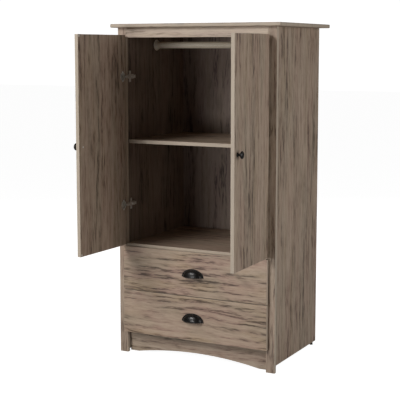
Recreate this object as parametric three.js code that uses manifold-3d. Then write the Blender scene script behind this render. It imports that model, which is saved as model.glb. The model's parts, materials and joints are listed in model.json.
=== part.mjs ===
// Two-door wardrobe over two drawers. Millimetres, +Z up, front faces -Y.
// X = 0 is the middle of the width, Y = 0 the front face of the stiles, Z = 0 the floor.
import * as THREE from "three";
import { mergeVertices } from "three/addons/utils/BufferGeometryUtils.js";
import Module from "manifold-3d";

const wasm = await Module();
wasm.setup();

// ---------- case ----------
const CASE_HEIGHT = 1475;
const CASE_WIDTH = 764;
const CASE_DEPTH = 532;
const BOARD = 16;
const STILE_WIDTH = 40;
const GAP = 0.3;
const SIDE_LIFT = 13;
const TOP_OVERHANG_SIDE = 26;
const TOP_OVERHANG_FRONT = 24;
const TOP_EDGE_ROUND = 5;
const RAIL_HEIGHT = 43;
const BACK_THICKNESS = 3;
const BACK_EDGE_INSET = 2;
const KICK_SETBACK = 24;
const KICK_LIFT = 4;
const KICK_FOOT = 42;
const KICK_ARCH_RISE = 27;
const KICK_DRAWER_OVERLAP = 9;
const SHELF_SETBACK = 20;
const SHELF_END_CLEARANCE = 1;
const SHELF_SHARE = 0.49;
const PIN_RADIUS = 2.5;
const PIN_HOLE_DEPTH = 10;
const PIN_REACH = 9;
const PIN_INSET = 55;
const GLIDE_RADIUS = 7;
const GLIDE_INSET = 32;

// ---------- fronts ----------
const FRONT_THICKNESS = 16;
const FRONT_OVERLAY = 9;
const FRONT_STANDOFF = 2;
const DOOR_GAP = 3;
const FRONT_GAP = 6.5;
const DRAWER_GAP = 3;
const DOOR_RAIL_OVERLAY = 11;
const LOWER_FRONT_BOTTOM = 99.5;
const DRAWER_BLOCK_TOP = 491;
const DECK_FRONT_OVERLAP = 4;

// ---------- door hinge ----------
const DOOR_REST_ANGLE = 92;
const PIVOT_IN = 2;
const PIVOT_FORWARD = 14;
const HINGE_FROM_DOOR_END = 181;
const CUP_RADIUS = 17.5;
const CUP_DEPTH = 11.5;
const CUP_WALL = 1;
const CUP_CENTRE = 22.5;
const CUP_EAR_SPAN = 38;
const CUP_EAR_RADIUS = 5;
const CUP_PLATE = 1.2;
const CUP_LIP = 0.9;
const PLATE_THICKNESS = 3;
const PLATE_CLEARANCE = 3;
const PLATE_LENGTH = 42;
const PLATE_SPINE = 20;
const PLATE_WING_SPAN = 50;
const PLATE_WING_LENGTH = 14;
const PLATE_WING_START = 5;
const ARM_WIDTH = 14;
const ARM_HEIGHT = 9;
const ARM_WALL = 1.6;
const ARM_NOSE_RADIUS = 3;
const LINK_PIN_IN = 8;
const LINK_PIN_FORWARD = 4;
const LINK_PIN_RADIUS = 1.2;
const LINK_PIN_PLAY = 0.2;
const LINK_RISE = 3.5;
const LINK_HEEL = 4.5;
const LINK_TIP_MARGIN = 2.2;
const LINK_TIP_REACH = 0.6;
const LINK_TIP_DROP = 6;
const LINK_THICKNESS = 2.4;
const LINK_WIDTH = 8;
const LINK_EYE_RADIUS = 2.4;

// ---------- door knob ----------
const KNOB_HEIGHT = 960;
const KNOB_FROM_FREE_EDGE = 28;
const KNOB_RADIUS = 15.5;
const KNOB_PROJECTION = 26;
const KNOB_ROSE_RADIUS = 9;
const KNOB_NECK_RADIUS = 5.5;

// ---------- clothes rod ----------
const ROD_RADIUS = 15;
const ROD_DROP = 75;
const ROD_DEPTH_SHARE = 0.507;
const ROD_CLEARANCE = 0.4;
const FLANGE_RADIUS = 25;
const FLANGE_THICKNESS = 3;
const SOCKET_WALL = 3;
const SOCKET_LENGTH = 13;

// ---------- drawers ----------
const DRAWER_SIDE = 12;
const DRAWER_HEIGHT = 140;
const DRAWER_REAR_SPACE = 100.7;
const DRAWER_LIFT = 22;
const RUNNER_SPACE = 12.7;
const RUNNER_HEIGHT = 35;
const RUNNER_WALL = 1.4;
const RUNNER_CASE_DEPTH = 8.4;
const RUNNER_PLAY = 1.2;
const RUNNER_CLEARANCE = 4;
const BOTTOM_THICKNESS = 3;
const BOTTOM_LIFT = 10;
const GROOVE_DEPTH = 5;

// ---------- cup pull ----------
const PULL_WIDTH = 106;
const PULL_HEIGHT = 37;
const PULL_DEPTH = 24;
const PULL_WALL = 2.4;
const PULL_BORDER = 6;
const PULL_FLANGE = 2.5;
const PULL_RISE = 6;

// ---------- derived places ----------
const INNER_X = CASE_WIDTH / 2 - STILE_WIDTH;
const SIDE_OUTER_X = INNER_X + BOARD;
const FRONT_EDGE_X = INNER_X + FRONT_OVERLAY;
const TOP_UNDERSIDE = CASE_HEIGHT - BOARD;
const BACK_FACE = CASE_DEPTH - BACK_THICKNESS;
const RAIL_BOTTOM = TOP_UNDERSIDE - RAIL_HEIGHT;
const DECK_BOTTOM = DRAWER_BLOCK_TOP - DECK_FRONT_OVERLAP;
const DECK_TOP = DECK_BOTTOM + BOARD;
const DOOR_BOTTOM = DRAWER_BLOCK_TOP + FRONT_GAP;
const DOOR_TOP = RAIL_BOTTOM + DOOR_RAIL_OVERLAY;
const DOOR_WIDTH = FRONT_EDGE_X - DOOR_GAP / 2;
const SHELF_BOTTOM = DECK_TOP + (RAIL_BOTTOM - DECK_TOP) * SHELF_SHARE;
const FRONT_BACK_Y = -FRONT_STANDOFF;
const FRONT_FACE_Y = FRONT_BACK_Y - FRONT_THICKNESS;
const PIVOT_X = FRONT_EDGE_X - PIVOT_IN;
const HINGE_HEIGHTS = {
  upper: DOOR_TOP - HINGE_FROM_DOOR_END,
  lower: DOOR_BOTTOM + HINGE_FROM_DOOR_END,
};
const FRONT_HEIGHT = (DRAWER_BLOCK_TOP - LOWER_FRONT_BOTTOM - DRAWER_GAP) / 2;
const DRAWER_BASES = {
  upper: LOWER_FRONT_BOTTOM + FRONT_HEIGHT + DRAWER_GAP,
  lower: LOWER_FRONT_BOTTOM,
};
const BOX_OUTER_X = INNER_X - RUNNER_SPACE;
const PLATE_START = BOARD + PLATE_CLEARANCE;
const RUNNER_START = BOARD + RUNNER_CLEARANCE;
const BOX_FRONT_Y = FRONT_BACK_Y + GAP;
const DRAWER_DEPTH = BACK_FACE - DRAWER_REAR_SPACE - BOX_FRONT_Y;

// ---------- finishes ----------
function finish(color, roughness, metalness) {
  return new THREE.MeshStandardMaterial({ color, roughness, metalness });
}

const LAMINATE = [0x8f7c6c, 0.6, 0];
const HARDBOARD = [0x7a6a5c, 0.8, 0];
const DRAWER_BOARD = [0x8a7869, 0.7, 0];
const STEEL = [0xb9b9b6, 0.35, 1];
const BLACK_METAL = [0x1c1a19, 0.4, 1];
const ROD_WOOD = [0xc2ac8d, 0.5, 0];
const CREAM_PLASTIC = [0xe4dccb, 0.45, 0];
const DARK_PLASTIC = [0x26221f, 0.6, 0];

const wardrobe = new THREE.Group();
wardrobe.name = "wardrobe";

function addNode(name, geometry, look) {
  const mesh = new THREE.Mesh(geometry, finish(...look));
  mesh.name = name;
  wardrobe.add(mesh);
  return mesh;
}

// ---------- geometry helpers ----------
function block(x0, x1, y0, y1, z0, z1) {
  const geometry = new THREE.BoxGeometry(x1 - x0, y1 - y0, z1 - z0);
  geometry.translate((x0 + x1) / 2, (y0 + y1) / 2, (z0 + z1) / 2);
  return geometry;
}

function outline(points) {
  return new THREE.Shape(points.map(([x, y]) => new THREE.Vector2(x, y)));
}

function extrude(shape, depth, options = {}) {
  return new THREE.ExtrudeGeometry(shape, { depth, bevelEnabled: false, curveSegments: 24, ...options });
}

// A shape drawn in X and Z, given a length along Y from y0.
function alongY(shape, y0, length) {
  const geometry = extrude(shape, length);
  geometry.rotateX(Math.PI / 2);
  geometry.translate(0, y0 + length, 0);
  return geometry;
}

// A shape drawn in Y and Z, given a length along X from x0.
function alongX(shape, x0, length) {
  const geometry = extrude(shape, length);
  geometry.rotateX(Math.PI / 2);
  geometry.rotateZ(Math.PI / 2);
  geometry.translate(x0, 0, 0);
  return geometry;
}

function toManifold(geometry) {
  const bare = new THREE.BufferGeometry();
  bare.setAttribute("position", geometry.getAttribute("position").clone());
  if (geometry.index) {
    bare.setIndex(geometry.index.clone());
  }
  const merged = mergeVertices(bare, 1e-4);
  return new wasm.Manifold(
    new wasm.Mesh({
      numProp: 3,
      vertProperties: Float32Array.from(merged.getAttribute("position").array),
      triVerts: Uint32Array.from(merged.index.array),
    }),
  );
}

function fromManifold(solid) {
  const mesh = solid.getMesh();
  const geometry = new THREE.BufferGeometry();
  geometry.setAttribute("position", new THREE.BufferAttribute(mesh.vertProperties, 3));
  geometry.setIndex(new THREE.BufferAttribute(mesh.triVerts, 1));
  const flat = geometry.toNonIndexed();
  flat.computeVertexNormals();
  return flat;
}

function cylinderAlongY(radius, y0, y1, x, z, segments = 48) {
  const geometry = new THREE.CylinderGeometry(radius, radius, y1 - y0, segments);
  geometry.translate(x, (y0 + y1) / 2, z);
  return geometry;
}

function cylinderAlongX(radius, x0, x1, y, z, segments = 48) {
  const geometry = new THREE.CylinderGeometry(radius, radius, x1 - x0, segments);
  geometry.rotateZ(Math.PI / 2);
  geometry.translate((x0 + x1) / 2, y, z);
  return geometry;
}

// Turns a right-hand piece into its left-hand twin.
function mirrored(geometry) {
  const plain = geometry.index ? geometry.toNonIndexed() : geometry.clone();
  const position = plain.getAttribute("position");
  const flipped = new Float32Array(position.array.length);
  for (let corner = 0; corner < position.count; corner += 3) {
    const order = [corner, corner + 2, corner + 1];
    order.forEach((source, step) => {
      flipped[(corner + step) * 3] = -position.getX(source);
      flipped[(corner + step) * 3 + 1] = position.getY(source);
      flipped[(corner + step) * 3 + 2] = position.getZ(source);
    });
  }
  const result = new THREE.BufferGeometry();
  result.setAttribute("position", new THREE.BufferAttribute(flipped, 3));
  result.computeVertexNormals();
  return result;
}

// Adds the right-hand piece and its mirrored left-hand twin.
function addPair(name, geometry, look) {
  addNode(`right_${name}`, geometry, look);
  addNode(`left_${name}`, mirrored(geometry), look);
}

// ---------- case ----------
function sidePanel() {
  return block(INNER_X, SIDE_OUTER_X, BOARD + GAP, BACK_FACE - GAP, SIDE_LIFT, TOP_UNDERSIDE - GAP);
}

function shelfPinHole(y) {
  const z = SHELF_BOTTOM - GAP - PIN_RADIUS;
  return cylinderAlongX(PIN_RADIUS + GAP, INNER_X - 1, INNER_X + PIN_HOLE_DEPTH, y, z, 24);
}

const PIN_ROWS = {
  front: SHELF_SETBACK + PIN_INSET,
  rear: BACK_FACE - PIN_INSET,
};

function boredSidePanel() {
  let solid = toManifold(sidePanel());
  for (const y of Object.values(PIN_ROWS)) {
    solid = solid.subtract(toManifold(shelfPinHole(y)));
  }
  return fromManifold(solid);
}

addPair("side_panel", boredSidePanel(), LAMINATE);
addPair("stile", block(INNER_X, CASE_WIDTH / 2, 0, BOARD, 0, TOP_UNDERSIDE - GAP), LAMINATE);

function topPanel() {
  const halfWidth = CASE_WIDTH / 2 + TOP_OVERHANG_SIDE - TOP_EDGE_ROUND;
  const front = -TOP_OVERHANG_FRONT + TOP_EDGE_ROUND;
  const rear = CASE_DEPTH - TOP_EDGE_ROUND;
  const shape = outline([
    [-halfWidth, front],
    [halfWidth, front],
    [halfWidth, rear],
    [-halfWidth, rear],
  ]);
  const geometry = extrude(shape, BOARD - TOP_EDGE_ROUND * 2, {
    bevelEnabled: true,
    bevelSize: TOP_EDGE_ROUND,
    bevelThickness: TOP_EDGE_ROUND,
    bevelSegments: 4,
  });
  geometry.translate(0, 0, TOP_UNDERSIDE + TOP_EDGE_ROUND);
  return geometry;
}

addNode("top_panel", topPanel(), LAMINATE);
const FIT_X = INNER_X - GAP;
addNode("top_rail", block(-FIT_X, FIT_X, 0, BOARD, RAIL_BOTTOM, TOP_UNDERSIDE - GAP), LAMINATE);
addNode("deck_panel", block(-FIT_X, FIT_X, 0, BACK_FACE - GAP, DECK_BOTTOM, DECK_TOP), LAMINATE);

const SHELF_X = INNER_X - SHELF_END_CLEARANCE;
const SHELF_REAR = BACK_FACE - SHELF_END_CLEARANCE;
const SHELF_TOP = SHELF_BOTTOM + BOARD;
const shelf = block(-SHELF_X, SHELF_X, SHELF_SETBACK, SHELF_REAR, SHELF_BOTTOM, SHELF_TOP);
addNode("middle_shelf", shelf, LAMINATE);

const BACK_X = SIDE_OUTER_X - BACK_EDGE_INSET;
addNode(
  "back_panel",
  block(-BACK_X, BACK_X, BACK_FACE, CASE_DEPTH, SIDE_LIFT + BACK_EDGE_INSET, TOP_UNDERSIDE - GAP),
  HARDBOARD,
);

function kickPlate() {
  const top = LOWER_FRONT_BOTTOM + KICK_DRAWER_OVERLAP;
  const archHalf = FIT_X - KICK_FOOT;
  const archRadius = (archHalf * archHalf + KICK_ARCH_RISE * KICK_ARCH_RISE) / (2 * KICK_ARCH_RISE);
  const archCentre = KICK_LIFT + KICK_ARCH_RISE - archRadius;
  const archAngle = Math.asin(archHalf / archRadius);
  const shape = new THREE.Shape();
  shape.moveTo(-FIT_X, top);
  shape.lineTo(-FIT_X, KICK_LIFT);
  shape.lineTo(-archHalf, KICK_LIFT);
  const upright = Math.PI / 2;
  shape.absarc(0, archCentre, archRadius, upright + archAngle, upright - archAngle, true);
  shape.lineTo(FIT_X, KICK_LIFT);
  shape.lineTo(FIT_X, top);
  shape.closePath();
  return alongY(shape, KICK_SETBACK, BOARD);
}

addNode("kick_plate", kickPlate(), LAMINATE);

function glide() {
  const profile = [
    [0, 0],
    [GLIDE_RADIUS - 1, 0],
    [GLIDE_RADIUS, 1],
    [GLIDE_RADIUS, SIDE_LIFT - GAP],
    [0, SIDE_LIFT - GAP],
  ].map(([r, z]) => new THREE.Vector2(r, z));
  const geometry = new THREE.LatheGeometry(profile, 32);
  geometry.rotateX(Math.PI / 2);
  geometry.translate(INNER_X + BOARD / 2, BACK_FACE - GLIDE_INSET, 0);
  return geometry;
}

addPair("rear_glide", glide(), DARK_PLASTIC);

for (const [row, y] of Object.entries(PIN_ROWS)) {
  const z = SHELF_BOTTOM - GAP - PIN_RADIUS;
  const hiddenEnd = INNER_X + PIN_HOLE_DEPTH - GAP;
  const pin = cylinderAlongX(PIN_RADIUS, INNER_X - PIN_REACH, hiddenEnd, y, z, 24);
  addPair(`${row}_shelf_pin`, pin, STEEL);
}

// ---------- clothes rod ----------
const ROD_Z = TOP_UNDERSIDE - ROD_DROP;
const ROD_Y = CASE_DEPTH * ROD_DEPTH_SHARE;
const SOCKET_RADIUS = ROD_RADIUS + ROD_CLEARANCE;
const SOCKET_OUTER = SOCKET_RADIUS + SOCKET_WALL;
const FLANGE_X = INNER_X - GAP;
const ROD_END = FLANGE_X - FLANGE_THICKNESS - ROD_CLEARANCE;

addNode("hanging_rod", cylinderAlongX(ROD_RADIUS, -ROD_END, ROD_END, ROD_Y, ROD_Z, 64), ROD_WOOD);

function rodFlange() {
  const profile = [
    [0, 0],
    [FLANGE_RADIUS, 0],
    [FLANGE_RADIUS, FLANGE_THICKNESS - 1],
    [FLANGE_RADIUS - 1, FLANGE_THICKNESS],
    [SOCKET_OUTER, FLANGE_THICKNESS],
    [SOCKET_OUTER, SOCKET_LENGTH],
    [SOCKET_RADIUS, SOCKET_LENGTH],
    [SOCKET_RADIUS, FLANGE_THICKNESS],
    [0, FLANGE_THICKNESS],
  ].map(([r, y]) => new THREE.Vector2(r, y));
  const geometry = new THREE.LatheGeometry(profile, 48);
  geometry.rotateZ(Math.PI / 2);
  geometry.translate(FLANGE_X, ROD_Y, ROD_Z);
  return geometry;
}

addPair("rod_flange", rodFlange(), CREAM_PLASTIC);

// ---------- doors, drawn closed and then swung open about the hinge axis ----------
function swungOpen(geometry) {
  geometry.translate(-PIVOT_X, PIVOT_FORWARD, 0);
  geometry.rotateZ(THREE.MathUtils.degToRad(DOOR_REST_ANGLE));
  geometry.translate(PIVOT_X, -PIVOT_FORWARD, 0);
  return geometry;
}

const CUP_X = FRONT_EDGE_X - CUP_CENTRE;

function doorPanel() {
  const freeX = FRONT_EDGE_X - DOOR_WIDTH;
  const panel = block(freeX, FRONT_EDGE_X, FRONT_FACE_Y, FRONT_BACK_Y, DOOR_BOTTOM, DOOR_TOP);
  let solid = toManifold(panel);
  const boreFloor = FRONT_BACK_Y - CUP_DEPTH - GAP;
  for (const z of Object.values(HINGE_HEIGHTS)) {
    const bore = cylinderAlongY(CUP_RADIUS + GAP, boreFloor, FRONT_BACK_Y + 1, CUP_X, z);
    solid = solid.subtract(toManifold(bore));
  }
  return swungOpen(fromManifold(solid));
}

addPair("door_panel", doorPanel(), LAMINATE);

// A round shell sunk in the door with a thin plate and two screw ears on the door's inner face.
function hingeCup(z) {
  const face = FRONT_BACK_Y + GAP;
  const shell = toManifold(cylinderAlongY(CUP_RADIUS, FRONT_BACK_Y - CUP_DEPTH, face + CUP_LIP, CUP_X, z));
  const ear = CUP_EAR_RADIUS;
  const halfSpan = CUP_EAR_SPAN / 2;
  const spine = block(CUP_X - ear, CUP_X + ear, face, face + CUP_LIP, z - halfSpan, z + halfSpan);
  let solid = shell.add(toManifold(spine));
  for (const end of [-1, 1]) {
    const tip = cylinderAlongY(ear, face, face + CUP_LIP, CUP_X, z + end * halfSpan, 24);
    solid = solid.add(toManifold(tip));
  }
  const rim = cylinderAlongY(CUP_RADIUS + CUP_PLATE, face, face + CUP_LIP, CUP_X, z);
  solid = solid.add(toManifold(rim));
  const hollowFloor = FRONT_BACK_Y - CUP_DEPTH + CUP_WALL;
  const hollow = cylinderAlongY(CUP_RADIUS - CUP_WALL, hollowFloor, face + CUP_LIP + 1, CUP_X, z);
  return swungOpen(fromManifold(solid.subtract(toManifold(hollow))));
}

function hingePlate(z) {
  const x = INNER_X - GAP;
  const spineEnd = PLATE_START + PLATE_LENGTH;
  const wingStart = PLATE_START + PLATE_WING_START;
  const wingEnd = wingStart + PLATE_WING_LENGTH;
  const s = PLATE_SPINE / 2;
  const w = PLATE_WING_SPAN / 2;
  const shape = outline([
    [PLATE_START, z - s],
    [wingStart, z - s],
    [wingStart, z - w],
    [wingEnd, z - w],
    [wingEnd, z - s],
    [spineEnd, z - s],
    [spineEnd, z + s],
    [wingEnd, z + s],
    [wingEnd, z + w],
    [wingStart, z + w],
    [wingStart, z + s],
    [PLATE_START, z + s],
  ]);
  return alongX(shape, x - PLATE_THICKNESS, PLATE_THICKNESS);
}

const LINK_PIN_X = INNER_X - LINK_PIN_IN;
const LINK_PIN_Y = -LINK_PIN_FORWARD;
const CUP_FAR_WALL_X = CUP_X - CUP_RADIUS + CUP_WALL;
const LINK_LENGTH = LINK_PIN_X - CUP_FAR_WALL_X - LINK_TIP_MARGIN;

// A shape drawn in X and Y, given a height about z.
function flatPiece(shape, z, height) {
  const geometry = extrude(shape, height);
  geometry.translate(0, 0, z - height / 2);
  return geometry;
}

// A channel over the plate that reaches past the stile to the link's pin.
function hingeArm(z) {
  const base = INNER_X - GAP - PLATE_THICKNESS - GAP;
  const roof = base - ARM_HEIGHT;
  const rear = PLATE_START + PLATE_LENGTH - GAP;
  const nose = ARM_NOSE_RADIUS;
  const cheek = new THREE.Shape();
  cheek.moveTo(base, rear);
  cheek.lineTo(base, PLATE_START);
  cheek.lineTo(LINK_PIN_X + nose, PLATE_START - ARM_HEIGHT);
  cheek.lineTo(LINK_PIN_X + nose, LINK_PIN_Y);
  cheek.absarc(LINK_PIN_X, LINK_PIN_Y, nose, 0, -Math.PI, true);
  cheek.lineTo(LINK_PIN_X - nose, PLATE_START - ARM_HEIGHT);
  cheek.lineTo(roof, PLATE_START);
  cheek.lineTo(roof, rear);
  cheek.closePath();
  const whole = toManifold(flatPiece(cheek, z, ARM_WIDTH));
  const channelWidth = ARM_WIDTH - ARM_WALL * 2;
  const hollowEnd = PLATE_START + ARM_WALL;
  const half = channelWidth / 2;
  const under = block(roof + ARM_WALL, base + 1, hollowEnd, rear + 1, z - half, z + half);
  const forkRear = LINK_PIN_Y + ARM_NOSE_RADIUS * 2;
  const fork = block(
    LINK_PIN_X - nose - 1,
    LINK_PIN_X + nose + 1,
    LINK_PIN_Y - nose - 1,
    forkRear,
    z - half,
    z + half,
  );
  const pin = new THREE.CylinderGeometry(LINK_PIN_RADIUS, LINK_PIN_RADIUS, ARM_WIDTH - ARM_WALL, 20);
  pin.rotateX(Math.PI / 2);
  pin.translate(LINK_PIN_X, LINK_PIN_Y, z);
  const solid = whole.subtract(toManifold(under)).subtract(toManifold(fork)).add(toManifold(pin));
  return fromManifold(solid);
}

// One cranked lever that runs from the arm's nose, over the door's edge, down into the cup.
function hingeLink(z) {
  const t = LINK_THICKNESS / 2;
  const bend = -LINK_LENGTH + LINK_TIP_REACH;
  const shape = new THREE.Shape();
  shape.absarc(0, 0, LINK_EYE_RADIUS, -Math.PI * 0.83, Math.PI * 0.6, false);
  shape.lineTo(-LINK_HEEL + t, LINK_RISE + t);
  shape.lineTo(bend - t / 2, LINK_RISE + t);
  shape.lineTo(-LINK_LENGTH - t, -LINK_TIP_DROP);
  shape.absarc(-LINK_LENGTH, -LINK_TIP_DROP, t, Math.PI, Math.PI * 2, false);
  shape.lineTo(bend + t / 2, LINK_RISE - t);
  shape.lineTo(-LINK_HEEL - t / 2, LINK_RISE - t);
  shape.closePath();
  const eye = new THREE.Path();
  eye.absarc(0, 0, LINK_PIN_RADIUS + LINK_PIN_PLAY, 0, Math.PI * 2, true);
  shape.holes.push(eye);
  const geometry = flatPiece(shape, z, LINK_WIDTH);
  geometry.rotateZ(THREE.MathUtils.degToRad(DOOR_REST_ANGLE));
  geometry.translate(LINK_PIN_X, LINK_PIN_Y, 0);
  return geometry;
}

for (const [place, z] of Object.entries(HINGE_HEIGHTS)) {
  addPair(`${place}_hinge_plate`, hingePlate(z), STEEL);
  addPair(`${place}_hinge_arm`, hingeArm(z), STEEL);
  addPair(`${place}_hinge_cup`, hingeCup(z), STEEL);
  addPair(`${place}_hinge_link`, hingeLink(z), STEEL);
}

function doorKnob() {
  const profile = [
    [0, 0],
    [KNOB_ROSE_RADIUS, 0],
    [KNOB_ROSE_RADIUS, 1.6],
    [KNOB_ROSE_RADIUS - 1.6, 3],
    [KNOB_NECK_RADIUS, 5],
    [KNOB_NECK_RADIUS, 11],
    [KNOB_NECK_RADIUS + 2.5, 14],
    [KNOB_RADIUS - 1.5, 16.5],
    [KNOB_RADIUS, 19],
    [KNOB_RADIUS - 0.8, 21.5],
    [KNOB_RADIUS - 4, 24],
    [KNOB_RADIUS * 0.4, KNOB_PROJECTION - 0.3],
    [0, KNOB_PROJECTION],
  ].map(([r, y]) => new THREE.Vector2(r, y));
  const geometry = new THREE.LatheGeometry(profile, 48);
  geometry.rotateX(Math.PI);
  const freeX = FRONT_EDGE_X - DOOR_WIDTH;
  geometry.translate(freeX + KNOB_FROM_FREE_EDGE, FRONT_FACE_Y - GAP, KNOB_HEIGHT);
  return swungOpen(geometry);
}

addPair("door_knob", doorKnob(), BLACK_METAL);

// ---------- drawers ----------
function boxSideProfile(z0) {
  const inner = BOX_OUTER_X - DRAWER_SIDE;
  const grooveBottom = z0 + BOTTOM_LIFT;
  const grooveTop = grooveBottom + BOTTOM_THICKNESS + GAP * 2;
  return outline([
    [inner, z0],
    [BOX_OUTER_X, z0],
    [BOX_OUTER_X, z0 + DRAWER_HEIGHT],
    [inner, z0 + DRAWER_HEIGHT],
    [inner, grooveTop],
    [inner + GROOVE_DEPTH, grooveTop],
    [inner + GROOVE_DEPTH, grooveBottom],
    [inner, grooveBottom],
  ]);
}

// A channel lying on its side: closed towards `back`, open towards `lip`.
function channelProfile(back, lip, z, height) {
  const wall = Math.sign(lip - back) * RUNNER_WALL;
  const h = height / 2;
  const points = [
    [back, z - h],
    [lip, z - h],
    [lip, z - h + RUNNER_WALL],
    [back + wall, z - h + RUNNER_WALL],
    [back + wall, z + h - RUNNER_WALL],
    [lip, z + h - RUNNER_WALL],
    [lip, z + h],
    [back, z + h],
  ];
  return outline(points);
}

function cupPull(z) {
  const face = FRONT_FACE_Y - GAP;
  const hoodHalf = PULL_WIDTH / 2 - PULL_BORDER;
  const hoodHeight = PULL_HEIGHT - PULL_BORDER / 2;
  const bottom = z - PULL_HEIGHT / 2 + PULL_RISE;
  const ellipsoid = (a, b, c) => {
    const ball = new THREE.SphereGeometry(1, 48, 32);
    ball.scale(a, b, c);
    ball.translate(0, face, bottom);
    return toManifold(ball);
  };
  const room = PULL_WIDTH;
  const keep = toManifold(block(-room, room, face - room, face, bottom, bottom + room));
  const hood = ellipsoid(hoodHalf, PULL_DEPTH, hoodHeight);
  const hollow = ellipsoid(hoodHalf - PULL_WALL, PULL_DEPTH - PULL_WALL, hoodHeight - PULL_WALL);
  const flange = new THREE.Shape();
  flange.absellipse(0, 0, PULL_WIDTH / 2, PULL_HEIGHT, 0, Math.PI, false, 0);
  flange.closePath();
  const plate = toManifold(alongY(flange, 0, PULL_FLANGE).translate(0, face - PULL_FLANGE, bottom));
  const solid = hood.add(plate).intersect(keep).subtract(hollow);
  return fromManifold(solid);
}

for (const [place, z] of Object.entries(DRAWER_BASES)) {
  const boxZ = z + DRAWER_LIFT;
  const inner = BOX_OUTER_X - DRAWER_SIDE;
  const boxBack = BOX_FRONT_Y + DRAWER_DEPTH;
  addNode(
    `${place}_drawer_front`,
    block(-FRONT_EDGE_X, FRONT_EDGE_X, FRONT_FACE_Y, FRONT_BACK_Y, z, z + FRONT_HEIGHT),
    LAMINATE,
  );
  addPair(`${place}_drawer_side`, alongY(boxSideProfile(boxZ), BOX_FRONT_Y, DRAWER_DEPTH), DRAWER_BOARD);
  const floorTop = boxZ + BOTTOM_LIFT + GAP + BOTTOM_THICKNESS;
  const backX = inner - GAP;
  addNode(
    `${place}_drawer_back`,
    block(-backX, backX, boxBack - DRAWER_SIDE, boxBack, floorTop + GAP, boxZ + DRAWER_HEIGHT),
    DRAWER_BOARD,
  );
  const floorX = inner + GROOVE_DEPTH - GAP;
  addNode(
    `${place}_drawer_bottom`,
    block(-floorX, floorX, BOX_FRONT_Y, boxBack, floorTop - BOTTOM_THICKNESS, floorTop),
    HARDBOARD,
  );
  const runnerZ = boxZ + DRAWER_HEIGHT / 2;
  const caseBack = INNER_X - GAP;
  const caseRunner = channelProfile(caseBack, caseBack - RUNNER_CASE_DEPTH, runnerZ, RUNNER_HEIGHT);
  const runnerLength = boxBack - RUNNER_START;
  addPair(`${place}_case_runner`, alongY(caseRunner, RUNNER_START, runnerLength), STEEL);
  const drawerHeight = RUNNER_HEIGHT - (RUNNER_WALL + RUNNER_PLAY) * 2;
  const drawerLip = caseBack - RUNNER_WALL - RUNNER_PLAY;
  const drawerRunner = channelProfile(BOX_OUTER_X + GAP, drawerLip, runnerZ, drawerHeight);
  addPair(`${place}_drawer_runner`, alongY(drawerRunner, RUNNER_START, runnerLength), STEEL);
  addNode(`${place}_cup_pull`, cupPull(z + FRONT_HEIGHT / 2), BLACK_METAL);
}

export default wardrobe;
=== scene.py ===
"""Looks of a two-door wardrobe over two drawers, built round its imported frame. Metres, +Z up."""

import json
import logging
import math
from dataclasses import dataclass, field
from enum import Enum

import bmesh
import bpy
from mathutils import Matrix, Vector

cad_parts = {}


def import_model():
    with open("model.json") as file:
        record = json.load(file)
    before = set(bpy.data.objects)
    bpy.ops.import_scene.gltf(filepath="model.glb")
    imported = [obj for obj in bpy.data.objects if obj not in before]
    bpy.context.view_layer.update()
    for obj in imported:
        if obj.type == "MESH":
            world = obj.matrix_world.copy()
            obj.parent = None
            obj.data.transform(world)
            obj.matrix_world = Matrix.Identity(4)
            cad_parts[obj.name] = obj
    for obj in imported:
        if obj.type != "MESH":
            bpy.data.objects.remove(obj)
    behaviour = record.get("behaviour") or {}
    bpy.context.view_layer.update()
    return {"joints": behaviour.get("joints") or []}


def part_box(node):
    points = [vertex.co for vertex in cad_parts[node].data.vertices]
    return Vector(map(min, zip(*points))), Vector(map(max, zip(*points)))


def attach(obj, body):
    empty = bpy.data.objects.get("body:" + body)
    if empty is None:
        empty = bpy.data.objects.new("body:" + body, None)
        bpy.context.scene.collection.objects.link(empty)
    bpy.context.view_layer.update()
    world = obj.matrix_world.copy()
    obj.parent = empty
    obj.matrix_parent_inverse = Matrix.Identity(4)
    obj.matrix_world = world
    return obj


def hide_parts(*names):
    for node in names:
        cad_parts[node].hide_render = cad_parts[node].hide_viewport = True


log = logging.getLogger("wardrobe")

Colour = tuple[float, float, float, float]
Socket = bpy.types.NodeSocket
Input = float | tuple | Socket

GRAIN_UV = "grain"
WEAR_AND_HIGHLIGHT_BAND = "wear"
EDGING = "edging"
MM = 0.001
MERGE_DISTANCE = 1e-6
FLAT_ANGLE = math.radians(0.6)
HEAD_SINK = 0.1 * MM
REARWARD = Vector((0.0, 1.0, 0.0))
HINGE_PLACES = ("upper", "lower")


class Axis(Enum):
    """The direction that a board's grain runs in."""

    X = 0
    Y = 1
    Z = 2


class Slot(Enum):
    """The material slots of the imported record."""

    LAMINATE = "laminate"
    HARDBOARD = "hardboard"
    DRAWER_BOX = "drawer_box"
    ROD = "rod"
    CREAM = "cream_plastic"
    BLACK_PLASTIC = "black_plastic"
    BLACK_METAL = "black_metal"
    NICKEL = "nickel_steel"


class Side(Enum):
    """The two mirrored halves; the value is the sign of X."""

    LEFT = -1
    RIGHT = 1

    @property
    def word(self) -> str:
        """The side's name as the nodes spell it."""
        return self.name.lower()


DOOR_SEEDS = {Side.LEFT: 21.4, Side.RIGHT: 24.9}
DRAWER_SEEDS = {"upper": 31.2, "lower": 38.6}


def srgb(red: int, green: int, blue: int) -> Colour:
    """Turns a paint chart's 0 to 255 values into a linear colour.

    Args:
        red: Red, 0 to 255.
        green: Green, 0 to 255.
        blue: Blue, 0 to 255.

    Returns:
        The linear colour with full alpha.
    """
    linear = []
    for channel in (red, green, blue):
        c = channel / 255
        linear.append(c / 12.92 if c <= 0.04045 else ((c + 0.055) / 1.055) ** 2.4)
    return (linear[0], linear[1], linear[2], 1.0)


# ---------- node trees ----------


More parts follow.
